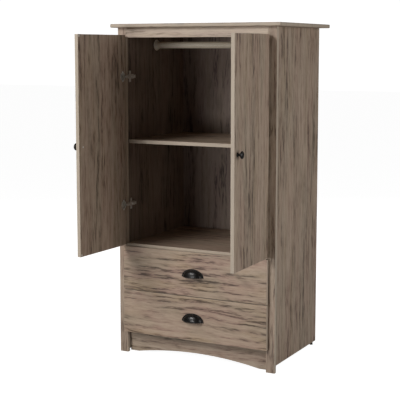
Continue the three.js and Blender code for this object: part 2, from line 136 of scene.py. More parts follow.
class Graph:
    """A node tree with short calls for the nodes that the finishes are made of."""

    def __init__(self, tree: bpy.types.NodeTree) -> None:
        """Wraps a tree.

        Args:
            tree: The tree that nodes are added to.
        """
        self.tree = tree

    def add(
        self, kind: str, inputs: dict[int | str, Input] | None = None, **settings: object
    ) -> bpy.types.Node:
        """Adds a node.

        Args:
            kind: The node's type name.
            inputs: Values or sockets for the node's inputs, by index or name.
            **settings: The node's own properties.

        Returns:
            The new node.
        """
        node = self.tree.nodes.new(kind)
        for name, value in settings.items():
            setattr(node, name, value)
        for key, value in (inputs or {}).items():
            if isinstance(value, Socket):
                self.tree.links.new(value, node.inputs[key])
            else:
                node.inputs[key].default_value = value
        return node

    def math(self, operation: str, a: Input, b: Input = 0.0, clamp: bool = False) -> Socket:
        """A Math node's result."""
        return self.add("ShaderNodeMath", {0: a, 1: b}, operation=operation, use_clamp=clamp).outputs[0]

    def scale_add(self, value: Input, factor: float, offset: Input) -> Socket:
        """A value times a factor, plus an offset."""
        node = self.add("ShaderNodeMath", {0: value, 1: factor, 2: offset}, operation="MULTIPLY_ADD")
        return node.outputs[0]

    def weighted(self, *terms: tuple[Socket, float]) -> Socket:
        """A sum of values, each times its own weight."""
        total: Input = 0.0
        for value, weight in terms:
            total = self.scale_add(value, weight, total)
        return total

    def scaled(self, vector: Socket, factors: tuple[float, float, float]) -> Socket:
        """A vector with each part multiplied by its own factor."""
        return self.add("ShaderNodeVectorMath", {0: vector, 1: factors}, operation="MULTIPLY").outputs[0]

    def noise(
        self, vector: Socket, scale: float = 1.0, detail: float = 2.0, roughness: float = 0.5
    ) -> Socket:
        """A noise value from 0 to 1."""
        return self.add(
            "ShaderNodeTexNoise",
            {"Vector": vector, "Scale": scale, "Detail": detail, "Roughness": roughness},
        ).outputs[0]

    def layer(
        self, vector: Socket, along: float, across: float, detail: float = 2.0, roughness: float = 0.5
    ) -> Socket:
        """A noise value with its own scale along and across the grain."""
        return self.noise(self.scaled(vector, (along, across, 1.0)), detail=detail, roughness=roughness)

    def here(self) -> Socket:
        """The place on the object, in metres."""
        return self.add("ShaderNodeTexCoord").outputs["Object"]

    def remap(
        self, value: Input, low: float, high: float, to_low: Input = 0.0, to_high: Input = 1.0
    ) -> Socket:
        """A value eased from one range to another, held at its ends."""
        return self.add(
            "ShaderNodeMapRange",
            {0: value, 1: low, 2: high, 3: to_low, 4: to_high},
            interpolation_type="SMOOTHSTEP",
        ).outputs[0]

    def mix(self, share: Input, a: Input, b: Input, blend: str = "MIX") -> Socket:
        """Two colours mixed by a share."""
        return self.add(
            "ShaderNodeMix", {0: share, 6: a, 7: b}, data_type="RGBA", blend_type=blend
        ).outputs[2]

    def split(self, vector: Socket) -> tuple[Socket, Socket, Socket]:
        """The three parts of a vector."""
        out = self.add("ShaderNodeSeparateXYZ", {0: vector}).outputs
        return out[0], out[1], out[2]

    def join(self, x: Input, y: Input, z: Input = 0.0) -> Socket:
        """A vector from its three parts."""
        return self.add("ShaderNodeCombineXYZ", {0: x, 1: y, 2: z}).outputs[0]


FLOAT = "NodeSocketFloat"
COLOUR = "NodeSocketColor"
VECTOR = "NodeSocketVector"


class Pattern:
    """A shader node group that is built once and placed in many materials."""

    title = "pattern"
    inputs: dict[str, str] = {}
    outputs: dict[str, str] = {}

    def draw(self, graph: Graph, given: dict[str, Socket]) -> dict[str, Socket]:
        """Builds the group's inside.

        Args:
            graph: The group's tree.
            given: The group's inputs by name.

        Returns:
            The group's outputs by name.
        """
        raise NotImplementedError

    def tree(self) -> bpy.types.NodeTree:
        """Finds or builds the group.

        Returns:
            The group's node tree.
        """
        found = bpy.data.node_groups.get(self.title)
        if found is not None:
            return found
        tree = bpy.data.node_groups.new(self.title, "ShaderNodeTree")
        for name, kind in self.inputs.items():
            tree.interface.new_socket(name=name, in_out="INPUT", socket_type=kind)
        for name, kind in self.outputs.items():
            tree.interface.new_socket(name=name, in_out="OUTPUT", socket_type=kind)
        graph = Graph(tree)
        start = graph.add("NodeGroupInput")
        made = self.draw(graph, {name: start.outputs[name] for name in self.inputs})
        graph.add("NodeGroupOutput", made)
        return tree

    def place(self, graph: Graph, **values: Input) -> dict[str, Socket]:
        """Adds this group to a material.

        Args:
            graph: The material's tree.
            **values: The group's inputs.

        Returns:
            The group's outputs by name.
        """
        node = graph.tree.nodes.new("ShaderNodeGroup")
        node.node_tree = self.tree()
        for name, value in values.items():
            if isinstance(value, Socket):
                graph.tree.links.new(value, node.inputs[name])
            else:
                node.inputs[name].default_value = value
        return {name: node.outputs[name] for name in self.outputs}


class PlankGrain(Pattern):
    """Weathered plank figure: streaks, flecks and fibres, hue drift, faint rings, checks and knots."""

    title = "plank_grain"
    inputs = {
        "Vector": VECTOR,
        "Figure": FLOAT,
        "Knots": FLOAT,
        "Patch Along": FLOAT,
        "Patch Across": FLOAT,
        "Light": COLOUR,
        "Mid": COLOUR,
        "Warm": COLOUR,
        "Tan": COLOUR,
        "Dark": COLOUR,
    }
    outputs = {"Color": COLOUR, "Depth": FLOAT, "Gloss": FLOAT}

    def draw(self, graph: Graph, given: dict[str, Socket]) -> dict[str, Socket]:
        """Builds the figure from the length along the grain and the place across it."""
        vector = given["Vector"]
        along, across, _ = graph.split(vector)
        slow = graph.layer(vector, 2.2, 4.0)
        quick = graph.layer(vector, 14.0, 22.0)
        wander = graph.scale_add(slow, 0.03, -0.015)
        ripple = graph.scale_add(quick, 0.007, -0.0035)
        place = graph.math("ADD", graph.math("ADD", across, wander), ripple)
        bent = graph.join(along, place)
        broad = graph.layer(bent, 1.0, 9.0)
        streak = graph.layer(bent, 4.2, 58.0, roughness=0.6)
        fleck = graph.layer(bent, 19.0, 140.0, roughness=0.6)
        fibre = graph.layer(bent, 24.0, 420.0, detail=3.0, roughness=0.6)
        fine = graph.layer(bent, 60.0, 1400.0)
        tone = graph.weighted(
            (graph.remap(broad, 0.34, 0.66), 0.24),
            (graph.remap(streak, 0.37, 0.63), 0.42),
            (graph.remap(fleck, 0.36, 0.64), 0.26),
            (graph.remap(fibre, 0.32, 0.68), 0.14),
            (graph.math("MULTIPLY", self.rings(graph, along, place, slow), given["Figure"]), -0.42),
        )
        body = self.body(graph, given, along, place, bent)
        lifted = graph.mix(graph.math("MULTIPLY", tone, 1.0, clamp=True), body, given["Light"])
        coloured = graph.mix(graph.remap(tone, 0.44, 0.04, 0.0, 0.9), lifted, given["Dark"])
        knots = graph.math("MULTIPLY", self.knots(graph, bent), given["Knots"], clamp=True)
        flaws = graph.math("MAXIMUM", self.checks(graph, bent), knots)
        coloured = graph.mix(graph.math("MULTIPLY", flaws, 0.55), coloured, given["Dark"])
        grey = graph.add("ShaderNodeCombineColor", {0: fine, 1: fine, 2: fine}).outputs[0]
        coloured = graph.mix(0.16, coloured, grey, "OVERLAY")
        depth = graph.weighted((fibre, 0.55), (fine, 0.25), (flaws, -0.8))
        return {"Color": coloured, "Depth": depth, "Gloss": graph.remap(fibre, 0.3, 0.7)}

    def body(
        self, graph: Graph, given: dict[str, Socket], along: Socket, place: Socket, bent: Socket
    ) -> Socket:
        """The plank's ground colour, drifting between three hues.

        Args:
            graph: The group's tree.
            given: The group's inputs.
            along: The length along the grain.
            place: The bent place across the grain.
            bent: The bent grain coordinates.

        Returns:
            The ground colour.
        """
        patch = graph.join(
            graph.math("MULTIPLY", along, given["Patch Along"]),
            graph.math("MULTIPLY", place, given["Patch Across"]),
        )
        warmth = graph.remap(graph.noise(patch, detail=2.0), 0.4, 0.6)
        tan = graph.remap(graph.noise(graph.scaled(patch, (0.8, 1.3, 1.0)), scale=1.3, detail=1.0), 0.5, 0.68)
        hair = graph.remap(graph.layer(bent, 3.0, 30.0), 0.4, 0.6)
        ground = graph.mix(warmth, given["Mid"], given["Warm"])
        ground = graph.mix(graph.math("MULTIPLY", hair, 0.35), ground, given["Warm"])
        return graph.mix(graph.math("MULTIPLY", tan, 0.7), ground, given["Tan"])

    def rings(self, graph: Graph, along: Socket, place: Socket, slow: Socket) -> Socket:
        """Growth rings cut on the flat, which show as nested arches.

        Args:
            graph: The group's tree.
            along: The length along the grain.
            place: The bent place across the grain.
            slow: A slow noise that disturbs the rings.

        Returns:
            A value that is 1 in the dark late wood.
        """
        half = graph.math("PINGPONG", place, 0.16)
        taper = graph.math("MULTIPLY", graph.math("PINGPONG", along, 1.3), 0.11)
        square = graph.math("ADD", graph.math("POWER", half, 2.0), graph.math("POWER", taper, 2.0))
        reach = graph.math("SQRT", square)
        turn = graph.math("ADD", graph.math("MULTIPLY", reach, 330.0), graph.math("MULTIPLY", slow, 9.0))
        late = graph.remap(graph.math("SINE", turn), -0.4, 1.0)
        cloud = graph.layer(graph.join(along, place), 1.6, 11.0, detail=1.0)
        return graph.math("MULTIPLY", late, graph.remap(cloud, 0.42, 0.6))

    def checks(self, graph: Graph, bent: Socket) -> Socket:
        """A mask of short dark checks that lie along the grain."""
        dash = graph.remap(graph.layer(bent, 16.0, 210.0), 0.62, 0.72)
        patch = graph.remap(graph.layer(bent, 3.4, 15.0, detail=1.0), 0.42, 0.6)
        return graph.math("MULTIPLY", dash, patch)

    def knots(self, graph: Graph, bent: Socket) -> Socket:
        """A mask of scattered oval knots."""
        stretched = graph.scaled(bent, (3.2, 9.0, 1.0))
        cells = graph.add("ShaderNodeTexVoronoi", {"Vector": stretched, "Scale": 1.0})
        spot = graph.remap(cells.outputs["Distance"], 0.2, 0.05)
        chosen = graph.add("ShaderNodeSeparateColor", {0: cells.outputs["Color"]}).outputs[0]
        return graph.math("MULTIPLY", spot, graph.remap(chosen, 0.55, 0.6))


class EdgeWear(Pattern):
    """Rubbed arrises and a painted highlight: a broken band along a board's edges, which the finish draws
    lighter.
    """

    title = "edge_wear"
    inputs = {"Vector": VECTOR, "Band": FLOAT, "Amount": FLOAT}
    outputs = {"Mask": FLOAT}

    def draw(self, graph: Graph, given: dict[str, Socket]) -> dict[str, Socket]:
        """Breaks the band up with two sizes of noise."""
        coarse = graph.noise(given["Vector"], scale=22.0, detail=3.0)
        crisp = graph.noise(given["Vector"], scale=240.0, detail=2.0)
        broken = graph.weighted((coarse, 0.7), (crisp, 0.3))
        edge = graph.math("POWER", given["Band"], 3.0)
        mask = graph.remap(graph.math("MULTIPLY", edge, broken), 0.28, 0.5)
        return {"Mask": graph.math("MULTIPLY", mask, given["Amount"], clamp=True)}


class Handling(Pattern):
    """Light dust, smudges and hair scratches from use."""

    title = "handling"
    inputs = {"Vector": VECTOR, "Amount": FLOAT}
    outputs = {"Dust": FLOAT, "Scratch": FLOAT}

    def draw(self, graph: Graph, given: dict[str, Socket]) -> dict[str, Socket]:
        """Clouds of dust, and thin scratches where one band of noise crosses its middle."""
        cloud = graph.remap(graph.noise(given["Vector"], scale=6.0, detail=4.0, roughness=0.65), 0.45, 0.75)
        line = graph.noise(graph.scaled(given["Vector"], (35.0, 9.0, 60.0)), detail=1.0)
        thin = graph.remap(graph.math("ABSOLUTE", graph.math("SUBTRACT", line, 0.5)), 0.006, 0.0)
        rare = graph.remap(graph.noise(given["Vector"], scale=11.0, detail=1.0), 0.58, 0.7)
        return {
            "Dust": graph.math("MULTIPLY", cloud, given["Amount"]),
            "Scratch": graph.math("MULTIPLY", graph.math("MULTIPLY", thin, rare), given["Amount"]),
        }


class FineGrain(Pattern):
    """The small even texture of moulded, cast or rolled surfaces, with a soft tone drift."""

    title = "fine_grain"
    inputs = {"Vector": VECTOR, "Size": FLOAT}
    outputs = {"Tone": FLOAT, "Depth": FLOAT}

    def draw(self, graph: Graph, given: dict[str, Socket]) -> dict[str, Socket]:
        """A fine noise for depth and a broad one for tone."""
        scaled = graph.add(
            "ShaderNodeVectorMath", {0: given["Vector"], "Scale": given["Size"]}, operation="SCALE"
        ).outputs[0]
        fine = graph.noise(scaled, detail=3.0, roughness=0.6)
        broad = graph.noise(scaled, scale=0.07, detail=2.0)
        return {"Tone": graph.remap(broad, 0.3, 0.7), "Depth": fine}


# ---------- finishes ----------


def blank_material(name: str) -> tuple[bpy.types.Material, Graph, bpy.types.Node]:
    """Makes a material that holds one Principled BSDF.

    Args:
        name: The material's name.

    Returns:
        The material, its graph and its shader node.
    """
    material = bpy.data.materials.new(name)
    material.use_nodes = True
    material.node_tree.nodes.clear()
    graph = Graph(material.node_tree)
    shader = graph.add("ShaderNodeBsdfPrincipled")
    graph.add("ShaderNodeOutputMaterial", {0: shader.outputs[0]})
    return material, graph, shader


@dataclass(frozen=True)
class Finish:
    """What every finish has: a name, and a material that is built once."""

    name: str

    def material(self) -> bpy.types.Material:
        """Finds or builds the material.

        Returns:
            The finish's material.
        """
        found = bpy.data.materials.get(self.name)
        if found is not None:
            return found
        material, graph, shader = blank_material(self.name)
        self.dress(graph, shader)
        return material

    def dress(self, graph: Graph, shader: bpy.types.Node) -> None:
        """Builds the look.

        Args:
            graph: The material's tree.
            shader: Its Principled BSDF.
        """
        raise NotImplementedError

    def wire(
        self,
        graph: Graph,
        shader: bpy.types.Node,
        colour: Socket,
        rough: Socket,
        height: Socket,
        depth: float,
        strength: float,
    ) -> None:
        """Feeds a look to the shader.

        Args:
            graph: The material's tree.
            shader: Its Principled BSDF.
            colour: The base colour.
            rough: The roughness.
            height: The relief's height value.
            depth: How deep the relief is, in metres.
            strength: How strongly it shows.
        """
        graph.tree.links.new(colour, shader.inputs["Base Color"])
        graph.tree.links.new(rough, shader.inputs["Roughness"])
        bump = graph.add("ShaderNodeBump", {"Height": height, "Distance": depth, "Strength": strength})
        graph.tree.links.new(bump.outputs[0], shader.inputs["Normal"])


@dataclass(frozen=True)
class PlankFinish(Finish):
    """Printed laminate or foil with a weathered plank figure."""

    light: Colour = srgb(190, 170, 150)
    mid: Colour = srgb(130, 116, 98)
    warm: Colour = srgb(148, 118, 102)
    tan: Colour = srgb(146, 124, 98)
    dark: Colour = srgb(72, 56, 45)
    edge: Colour = srgb(197, 183, 164)
    figure: float = 0.06
    knots: float = 0.5
    patch_along: float = 1.6
    patch_across: float = 13.0
    banding: float = 0.75
    # How strongly edges are lightened, as rubbed wear and painted highlight.
    wear: float = 0.4
    roughness: float = 0.46
    dust: float = 0.25

    def dress(self, graph: Graph, shader: bpy.types.Node) -> None:
        """Lays the figure on the grain map, then the worn edges lightened partly as painted highlight, dust
        and scratches.
        """
        grain_map = graph.add("ShaderNodeUVMap", uv_map=GRAIN_UV).outputs[0]
        place = graph.here()
        band = graph.add("ShaderNodeAttribute", attribute_name=WEAR_AND_HIGHLIGHT_BAND).outputs["Fac"]
        plank = PlankGrain().place(
            graph,
            Vector=grain_map,
            Figure=self.figure,
            Knots=self.knots,
            Light=self.light,
            Mid=self.mid,
            Warm=self.warm,
            Tan=self.tan,
            Dark=self.dark,
            **{"Patch Along": self.patch_along, "Patch Across": self.patch_across},
        )
        worn_and_lit_mask = EdgeWear().place(graph, Vector=place, Band=band, Amount=self.wear)["Mask"]
        use = Handling().place(graph, Vector=place, Amount=self.dust)
        banded = graph.add("ShaderNodeAttribute", attribute_name=EDGING).outputs["Fac"]
        colour = graph.mix(graph.math("MULTIPLY", banded, self.banding), plank["Color"], self.edge)
        # The edges are lightened: partly rubbed wear, partly a painted highlight on the arrises.
        colour = graph.mix(worn_and_lit_mask, colour, self.edge)
        colour = graph.mix(graph.math("MULTIPLY", use["Dust"], 0.3), colour, srgb(176, 168, 158))
        rough = graph.scale_add(plank["Gloss"], 0.1, self.roughness)
        rough = graph.scale_add(use["Dust"], 0.3, rough)
        rough = graph.scale_add(worn_and_lit_mask, 0.12, rough)
        height = graph.scale_add(use["Scratch"], -1.5, plank["Depth"])
        self.wire(graph, shader, colour, rough, height, depth=0.4 * MM, strength=0.35)


@dataclass(frozen=True)
class HardboardFinish(Finish):
    """The bare brown back of a fibre panel: pressed felt, fibres and mill specks."""

    light: Colour = srgb(150, 118, 88)
    dark: Colour = srgb(104, 78, 56)

    def dress(self, graph: Graph, shader: bpy.types.Node) -> None:
        """Mixes felt clouds and short fibres."""
        place = graph.here()
        felt = FineGrain().place(graph, Vector=place, Size=420.0)
        fibre = graph.remap(graph.noise(graph.scaled(place, (90.0, 90.0, 600.0)), detail=3.0), 0.35, 0.65)
        use = Handling().place(graph, Vector=place, Amount=0.5)
        tone = graph.weighted((felt["Tone"], 0.5), (fibre, 0.5))
        colour = graph.mix(tone, self.dark, self.light)
        speck = graph.remap(felt["Depth"], 0.66, 0.74)
        colour = graph.mix(graph.math("MULTIPLY", speck, 0.6), colour, srgb(66, 48, 34))
        colour = graph.mix(graph.math("MULTIPLY", use["Dust"], 0.4), colour, srgb(170, 158, 142))
        rough = graph.remap(fibre, 0.0, 1.0, 0.72, 0.88)
        self.wire(graph, shader, colour, rough, felt["Depth"], depth=0.5 * MM, strength=0.5)


@dataclass(frozen=True)
class TurnedWoodFinish(Finish):
    """Clear-coated hardwood with its grain along X, drawn near-white as painted light."""

    # Painted light: near-white colours standing in for the light that the top rail keeps off the rod.
    light: Colour = srgb(253, 244, 226)
    dark: Colour = srgb(242, 228, 204)

    def dress(self, graph: Graph, shader: bpy.types.Node) -> None:
        """Stretches fibres along the rod, with short darker flecks."""
        place = graph.here()
        streak = graph.noise(graph.scaled(place, (5.0, 210.0, 210.0)), detail=3.0)
        fleck = graph.remap(graph.noise(graph.scaled(place, (45.0, 700.0, 700.0)), detail=2.0), 0.6, 0.72)
        use = Handling().place(graph, Vector=place, Amount=0.4)
        colour = graph.mix(graph.remap(streak, 0.3, 0.7), self.dark, self.light)
        colour = graph.mix(graph.math("MULTIPLY", fleck, 0.5), colour, srgb(160, 130, 96))
        rough = graph.scale_add(use["Dust"], 0.25, graph.remap(streak, 0.3, 0.7, 0.34, 0.42))
        height = graph.math("SUBTRACT", streak, fleck)
        self.wire(graph, shader, colour, rough, height, depth=0.2 * MM, strength=0.3)
        shader.inputs["Coat Weight"].default_value = 0.3
        shader.inputs["Coat Roughness"].default_value = 0.2


@dataclass(frozen=True)
class PlasticFinish(Finish):
    """Moulded plastic with an even spark-eroded texture."""

    colour: Colour = srgb(248, 243, 230)
    shade: Colour = srgb(236, 228, 210)
    roughness: float = 0.42

    def dress(self, graph: Graph, shader: bpy.types.Node) -> None:
        """Adds a soft tone drift, fine grain and light dust."""
        place = graph.here()
        skin = FineGrain().place(graph, Vector=place, Size=1800.0)
        use = Handling().place(graph, Vector=place, Amount=0.4)
        colour = graph.mix(skin["Tone"], self.shade, self.colour)
        colour = graph.mix(graph.math("MULTIPLY", use["Dust"], 0.3), colour, srgb(160, 152, 142))
        rough = graph.remap(skin["Depth"], 0.3, 0.7, self.roughness - 0.04, self.roughness + 0.08)
        rough = graph.scale_add(use["Dust"], 0.3, rough)
        self.wire(graph, shader, colour, rough, skin["Depth"], depth=0.12 * MM, strength=0.4)


@dataclass(frozen=True)
class MetalFinish(Finish):
    """Plated or painted metal: tone drift, a rolled or cast texture, and rubbed spots."""

    # These default colours, used by the nickel plate, are partly the plate's own and partly painted
    # reflection: light and part-diffuse, so hinge parts read bright in shade.
    bright: Colour = srgb(238, 234, 226)
    dull: Colour = srgb(200, 196, 188)
    gloss: float = 0.26
    matt: float = 0.42
    metallic: float = 0.6
    grain_size: float = 900.0
    depth: float = 0.08 * MM

    def dress(self, graph: Graph, shader: bpy.types.Node) -> None:
        """Lets a fine texture steer tone and roughness."""
        place = graph.here()
        skin = FineGrain().place(graph, Vector=place, Size=self.grain_size)
        use = Handling().place(graph, Vector=place, Amount=0.6)
        tone = graph.weighted((skin["Tone"], 0.6), (skin["Depth"], 0.4))
        colour = graph.mix(tone, self.dull, self.bright)
        colour = graph.mix(graph.math("MULTIPLY", use["Scratch"], 0.5), colour, self.bright)
        rough = graph.remap(skin["Depth"], 0.3, 0.7, self.gloss, self.matt)
        rough = graph.scale_add(use["Dust"], 0.2, rough)
        shader.inputs["Metallic"].default_value = self.metallic
        self.wire(graph, shader, colour, rough, skin["Depth"], self.depth, strength=0.5)


LAMINATE_FINISH = PlankFinish("weathered_laminate")
DRAWER_FRONT_FINISH = PlankFinish(
    "patchy_laminate",
    light=srgb(194, 171, 149),
    mid=srgb(140, 123, 101),
    warm=srgb(160, 125, 111),
    tan=srgb(162, 136, 101),
    figure=0.12,
    knots=1.0,
    patch_along=4.5,
    patch_across=9.0,
    wear=0.25,
)
PALE_FINISH = PlankFinish(
    "pale_laminate",
    light=srgb(204, 186, 166),
    mid=srgb(168, 151, 133),
    warm=srgb(176, 152, 138),
    tan=srgb(170, 149, 122),
    dark=srgb(118, 100, 84),
    knots=0.2,
    wear=0.25,
)
# Painted shade: a darker print for the back panel's inner face, standing in for the shade deep inside the
# case.
BACK_SHADE_FINISH = PlankFinish(
    "back_print",
    light=srgb(152, 136, 124),
    mid=srgb(114, 101, 92),
    warm=srgb(124, 102, 96),
    tan=srgb(122, 106, 90),
    dark=srgb(66, 54, 48),
    banding=0.0,
    roughness=0.6,
)
# Painted shade: a darker print for the side panels' inner faces, standing in for the shade inside the case.
INNER_SHADE_FINISH = PlankFinish(
    "lining_print",
    light=srgb(140, 124, 110),
    mid=srgb(94, 83, 70),
    warm=srgb(106, 84, 73),
    tan=srgb(104, 88, 70),
    dark=srgb(50, 39, 32),
    roughness=0.55,
)
BOX_FINISH = PlankFinish(
    "drawer_box_foil",
    light=srgb(176, 158, 140),
    mid=srgb(146, 128, 112),
    warm=srgb(150, 126, 108),
    dark=srgb(104, 86, 72),
    figure=0.15,
    knots=0.0,
    wear=0.3,
    roughness=0.55,
)
BARE_HARDBOARD = HardboardFinish("bare_hardboard")
LIT_ROD_FINISH = TurnedWoodFinish("pale_turned_wood")
CREAM_FINISH = PlasticFinish("cream_plastic_moulding")
GLIDE_FINISH = PlasticFinish(
    "black_plastic_moulding", colour=srgb(46, 43, 41), shade=srgb(30, 28, 27), roughness=0.5
)
IRON_FINISH = MetalFinish(
    "black_painted_metal",
    bright=srgb(38, 35, 33),
    dull=srgb(20, 18, 17),
    gloss=0.2,
    matt=0.34,
    metallic=0.35,
    grain_size=700.0,
    depth=0.15 * MM,
)
# Nickel plate with a painted reflection in its light, part-diffuse colour.
NICKEL_AND_SHEEN_FINISH = MetalFinish("nickel_plate")
RUNNER_FINISH = MetalFinish(
    "zinc_plate",
    bright=srgb(198, 200, 198),
    dull=srgb(150, 153, 152),
    gloss=0.28,
    matt=0.46,
    metallic=0.85,
    grain_size=500.0,
)
# Painted glint: steel drawn near-white and mostly non-metallic, so fastener heads show as bright spots
# without reflecting anything bright.
GLINT_SCREW_FINISH = MetalFinish(
    "bright_screw_steel",
    bright=srgb(254, 252, 248),
    dull=srgb(236, 234, 228),
    gloss=0.2,
    matt=0.32,
    metallic=0.15,
)


# ---------- shapes ----------


def block(low: Vector, high: Vector) -> bmesh.types.BMesh:
    """Makes a box between two corners.

    Args:
        low: Lowest corner.
        high: Highest corner.

    Returns:
        The box.
    """
    bm = bmesh.new()
    bmesh.ops.create_cube(bm, size=1.0)
    bmesh.ops.scale(bm, vec=high - low, verts=bm.verts)
    bmesh.ops.translate(bm, vec=(low + high) / 2, verts=bm.verts)
    return bm


def copy_of(node: str) -> bmesh.types.BMesh:
    """Copies a frame node's mesh, merged, with its flat regions joined into single faces.

    Args:
        node: The node's name.

    Returns:
        The copy.
    """
    bm = bmesh.new()
    bm.from_mesh(bpy.data.objects[node].data)
    bmesh.ops.remove_doubles(bm, verts=bm.verts, dist=MERGE_DISTANCE)
    bmesh.ops.dissolve_limit(bm, angle_limit=FLAT_ANGLE, verts=bm.verts, edges=bm.edges)
    return bm


def turned(
    profile: list[tuple[float, float]], steps: int = 64, move: Matrix | None = None
) -> bmesh.types.BMesh:
    """Turns a profile about +Z as a lathe does.

    Args:
        profile: Radius and height pairs, in metres.
        steps: Facets round the axis.
        move: Where the shape goes afterwards.

    Returns:
        The closed turned shape.
    """
    bm = bmesh.new()
    chain = [bm.verts.new((radius, 0.0, height)) for radius, height in profile]
    edges = [bm.edges.new(pair) for pair in zip(chain, chain[1:])]
    bmesh.ops.spin(
        bm,
        geom=chain + edges,
        cent=(0, 0, 0),
        axis=(0, 0, 1),
        angle=math.tau,
        steps=steps,
        use_merge=True,
        use_duplicate=False,
    )
    bmesh.ops.remove_doubles(bm, verts=bm.verts, dist=MERGE_DISTANCE)
    bmesh.ops.recalc_face_normals(bm, faces=bm.faces)
    if move is not None:
        bmesh.ops.transform(bm, matrix=move, verts=bm.verts)
    return bm


def bar_profile(radius: float, length: float, chamfer: float) -> list[tuple[float, float]]:
    """The turning profile of a round bar with chamfered ends."""
    low_end = [(0.0, 0.0), (radius - chamfer, 0.0), (radius, chamfer)]
    return low_end + [(r, length - z) for r, z in reversed(low_end)]


def sharp_edges(bm: bmesh.types.BMesh, degrees: float) -> list[bmesh.types.BMEdge]:
    """Lists the edges that turn by more than an angle."""
    limit = math.radians(degrees)
    return [e for e in bm.edges if len(e.link_faces) == 2 and e.calc_face_angle(0.0) > limit]


def ease(
    bm: bmesh.types.BMesh, radius: float, segments: int = 3, degrees: float = 30.0
) -> list[bmesh.types.BMFace]:
    """Rounds every sharp edge.

    Args:
        bm: The shape.
        radius: The rounding's width.
        segments: Facets across the rounding.
        degrees: What counts as sharp.

    Returns:
        The new faces of the rounding.
    """
    made = bmesh.ops.bevel(
        bm,
        geom=sharp_edges(bm, degrees),
        offset=radius,
        offset_type="OFFSET",
        affect="EDGES",
        segments=segments,
        profile=0.5,
        material=-1,
        clamp_overlap=True,
    )
    return made["faces"]


def short_side(face: bmesh.types.BMFace) -> float:
    """The smaller side of a face's box, leaving out the direction it faces."""
    rows = zip(*(v.co for v in face.verts))
    return sorted(max(row) - min(row) for row in rows)[1]


def mark_wear(bm: bmesh.types.BMesh, rounding: list[bmesh.types.BMFace], band: float) -> None:
    """Writes the edge band attribute for the wear and painted highlight: 1 on the roundings, falling to 0 a
    band's width in.

    Args:
        bm: The shape.
        rounding: The faces of its rounded edges.
        band: How far the wear and painted highlight reach in from an edge.
    """
    layer = bm.verts.layers.float.new(WEAR_AND_HIGHLIGHT_BAND)
    rounded = set(rounding)
    flats = [f for f in bm.faces if f not in rounded]
    largest_share, narrowest = 0.22, 0.2 * MM
    for face in flats:
        width = min(band, short_side(face) * largest_share)
        if width > narrowest:
            bmesh.ops.inset_individual(bm, faces=[face], thickness=width, use_even_offset=True)
    inner = {v for f in flats for v in f.verts}
    for vert in bm.verts:
        vert[layer] = 0.0 if vert in inner else 1.0


def mark_edging(bm: bmesh.types.BMesh, rounding: list[bmesh.types.BMFace], widest: float) -> None:
    """Writes the edging attribute: 1 on the narrow faces that carry a board's edge strip.

    Args:
        bm: The shape, before the rings of its edge band are cut.
        rounding: The faces of its rounded edges.
        widest: The widest face that counts as an edge.
    """
    layer = bm.verts.layers.float.new(EDGING)
    rounded = set(rounding)
    for face in bm.faces:
        if face not in rounded and short_side(face) <= widest:
            for vert in face.verts:
                vert[layer] = 1.0


def lay_grain(bm: bmesh.types.BMesh, grain: Axis, seed: float) -> None:
    """Writes the grain map in metres: U along the grain, V across it.

    Args:
        bm: The shape, square to the axes.
        grain: The grain's direction.
        seed: A number of the board's own, so that no two boards match.
    """
    layer = bm.loops.layers.uv.new(GRAIN_UV)
    shift_along, shift_across = seed * 3.1, seed * 0.77
    for face in bm.faces:
        normal = face.normal
        flat = max(range(3), key=lambda i: abs(normal[i]))
        others = [i for i in range(3) if i != flat]
        if grain.value in others:
            u_axis = grain.value
            v_axis = next(i for i in others if i != grain.value)
        else:
            u_axis, v_axis = others[1], others[0]
        turn = 1.7 * flat + (0.83 if normal[flat] > 0 else 0.0)
        for loop in face.loops:
            place = loop.vert.co
            loop[layer].uv = (place[u_axis] + shift_along + turn, place[v_axis] + shift_across + turn)


def evaluated(bm: bmesh.types.BMesh, cutters: list[bmesh.types.BMesh]) -> bpy.types.Mesh:
    """Cuts shapes out of a shape.

    Args:
        bm: The shape; it is used up.
        cutters: The shapes to take away; they are used up.

    Returns:
        The cut mesh.
    """
    body = bpy.data.objects.new("cutting", mesh_of("cutting", bm))
    bpy.context.scene.collection.objects.link(body)
    tools = []
    for cutter in cutters:
        tool = bpy.data.objects.new("cutter", mesh_of("cutter", cutter))
        bpy.context.scene.collection.objects.link(tool)
        cut = body.modifiers.new("cut", "BOOLEAN")
        cut.operation = "DIFFERENCE"
        cut.solver = "EXACT"
        cut.object = tool
        tools.append(tool)
    bpy.context.view_layer.update()
    graph = bpy.context.evaluated_depsgraph_get()
    mesh = bpy.data.meshes.new_from_object(body.evaluated_get(graph))
    for used in [body, *tools]:
        bpy.data.objects.remove(used)
    return mesh


def mesh_of(name: str, bm: bmesh.types.BMesh) -> bpy.types.Mesh:
    """Turns a shape into a mesh and frees it."""
    mesh = bpy.data.meshes.new(name)
    bm.to_mesh(mesh)
    bm.free()
    return mesh


def from_mesh(mesh: bpy.types.Mesh) -> bmesh.types.BMesh:
    """Turns a mesh back into a shape."""
    bm = bmesh.new()
    bm.from_mesh(mesh)
    return bm


def facing(place: Vector, direction: Vector) -> Matrix:
    """The move that stands a shape made about +Z at a place, with +Z along a direction."""
    return Matrix.Translation(place) @ direction.to_track_quat("Z", "Y").to_matrix().to_4x4()


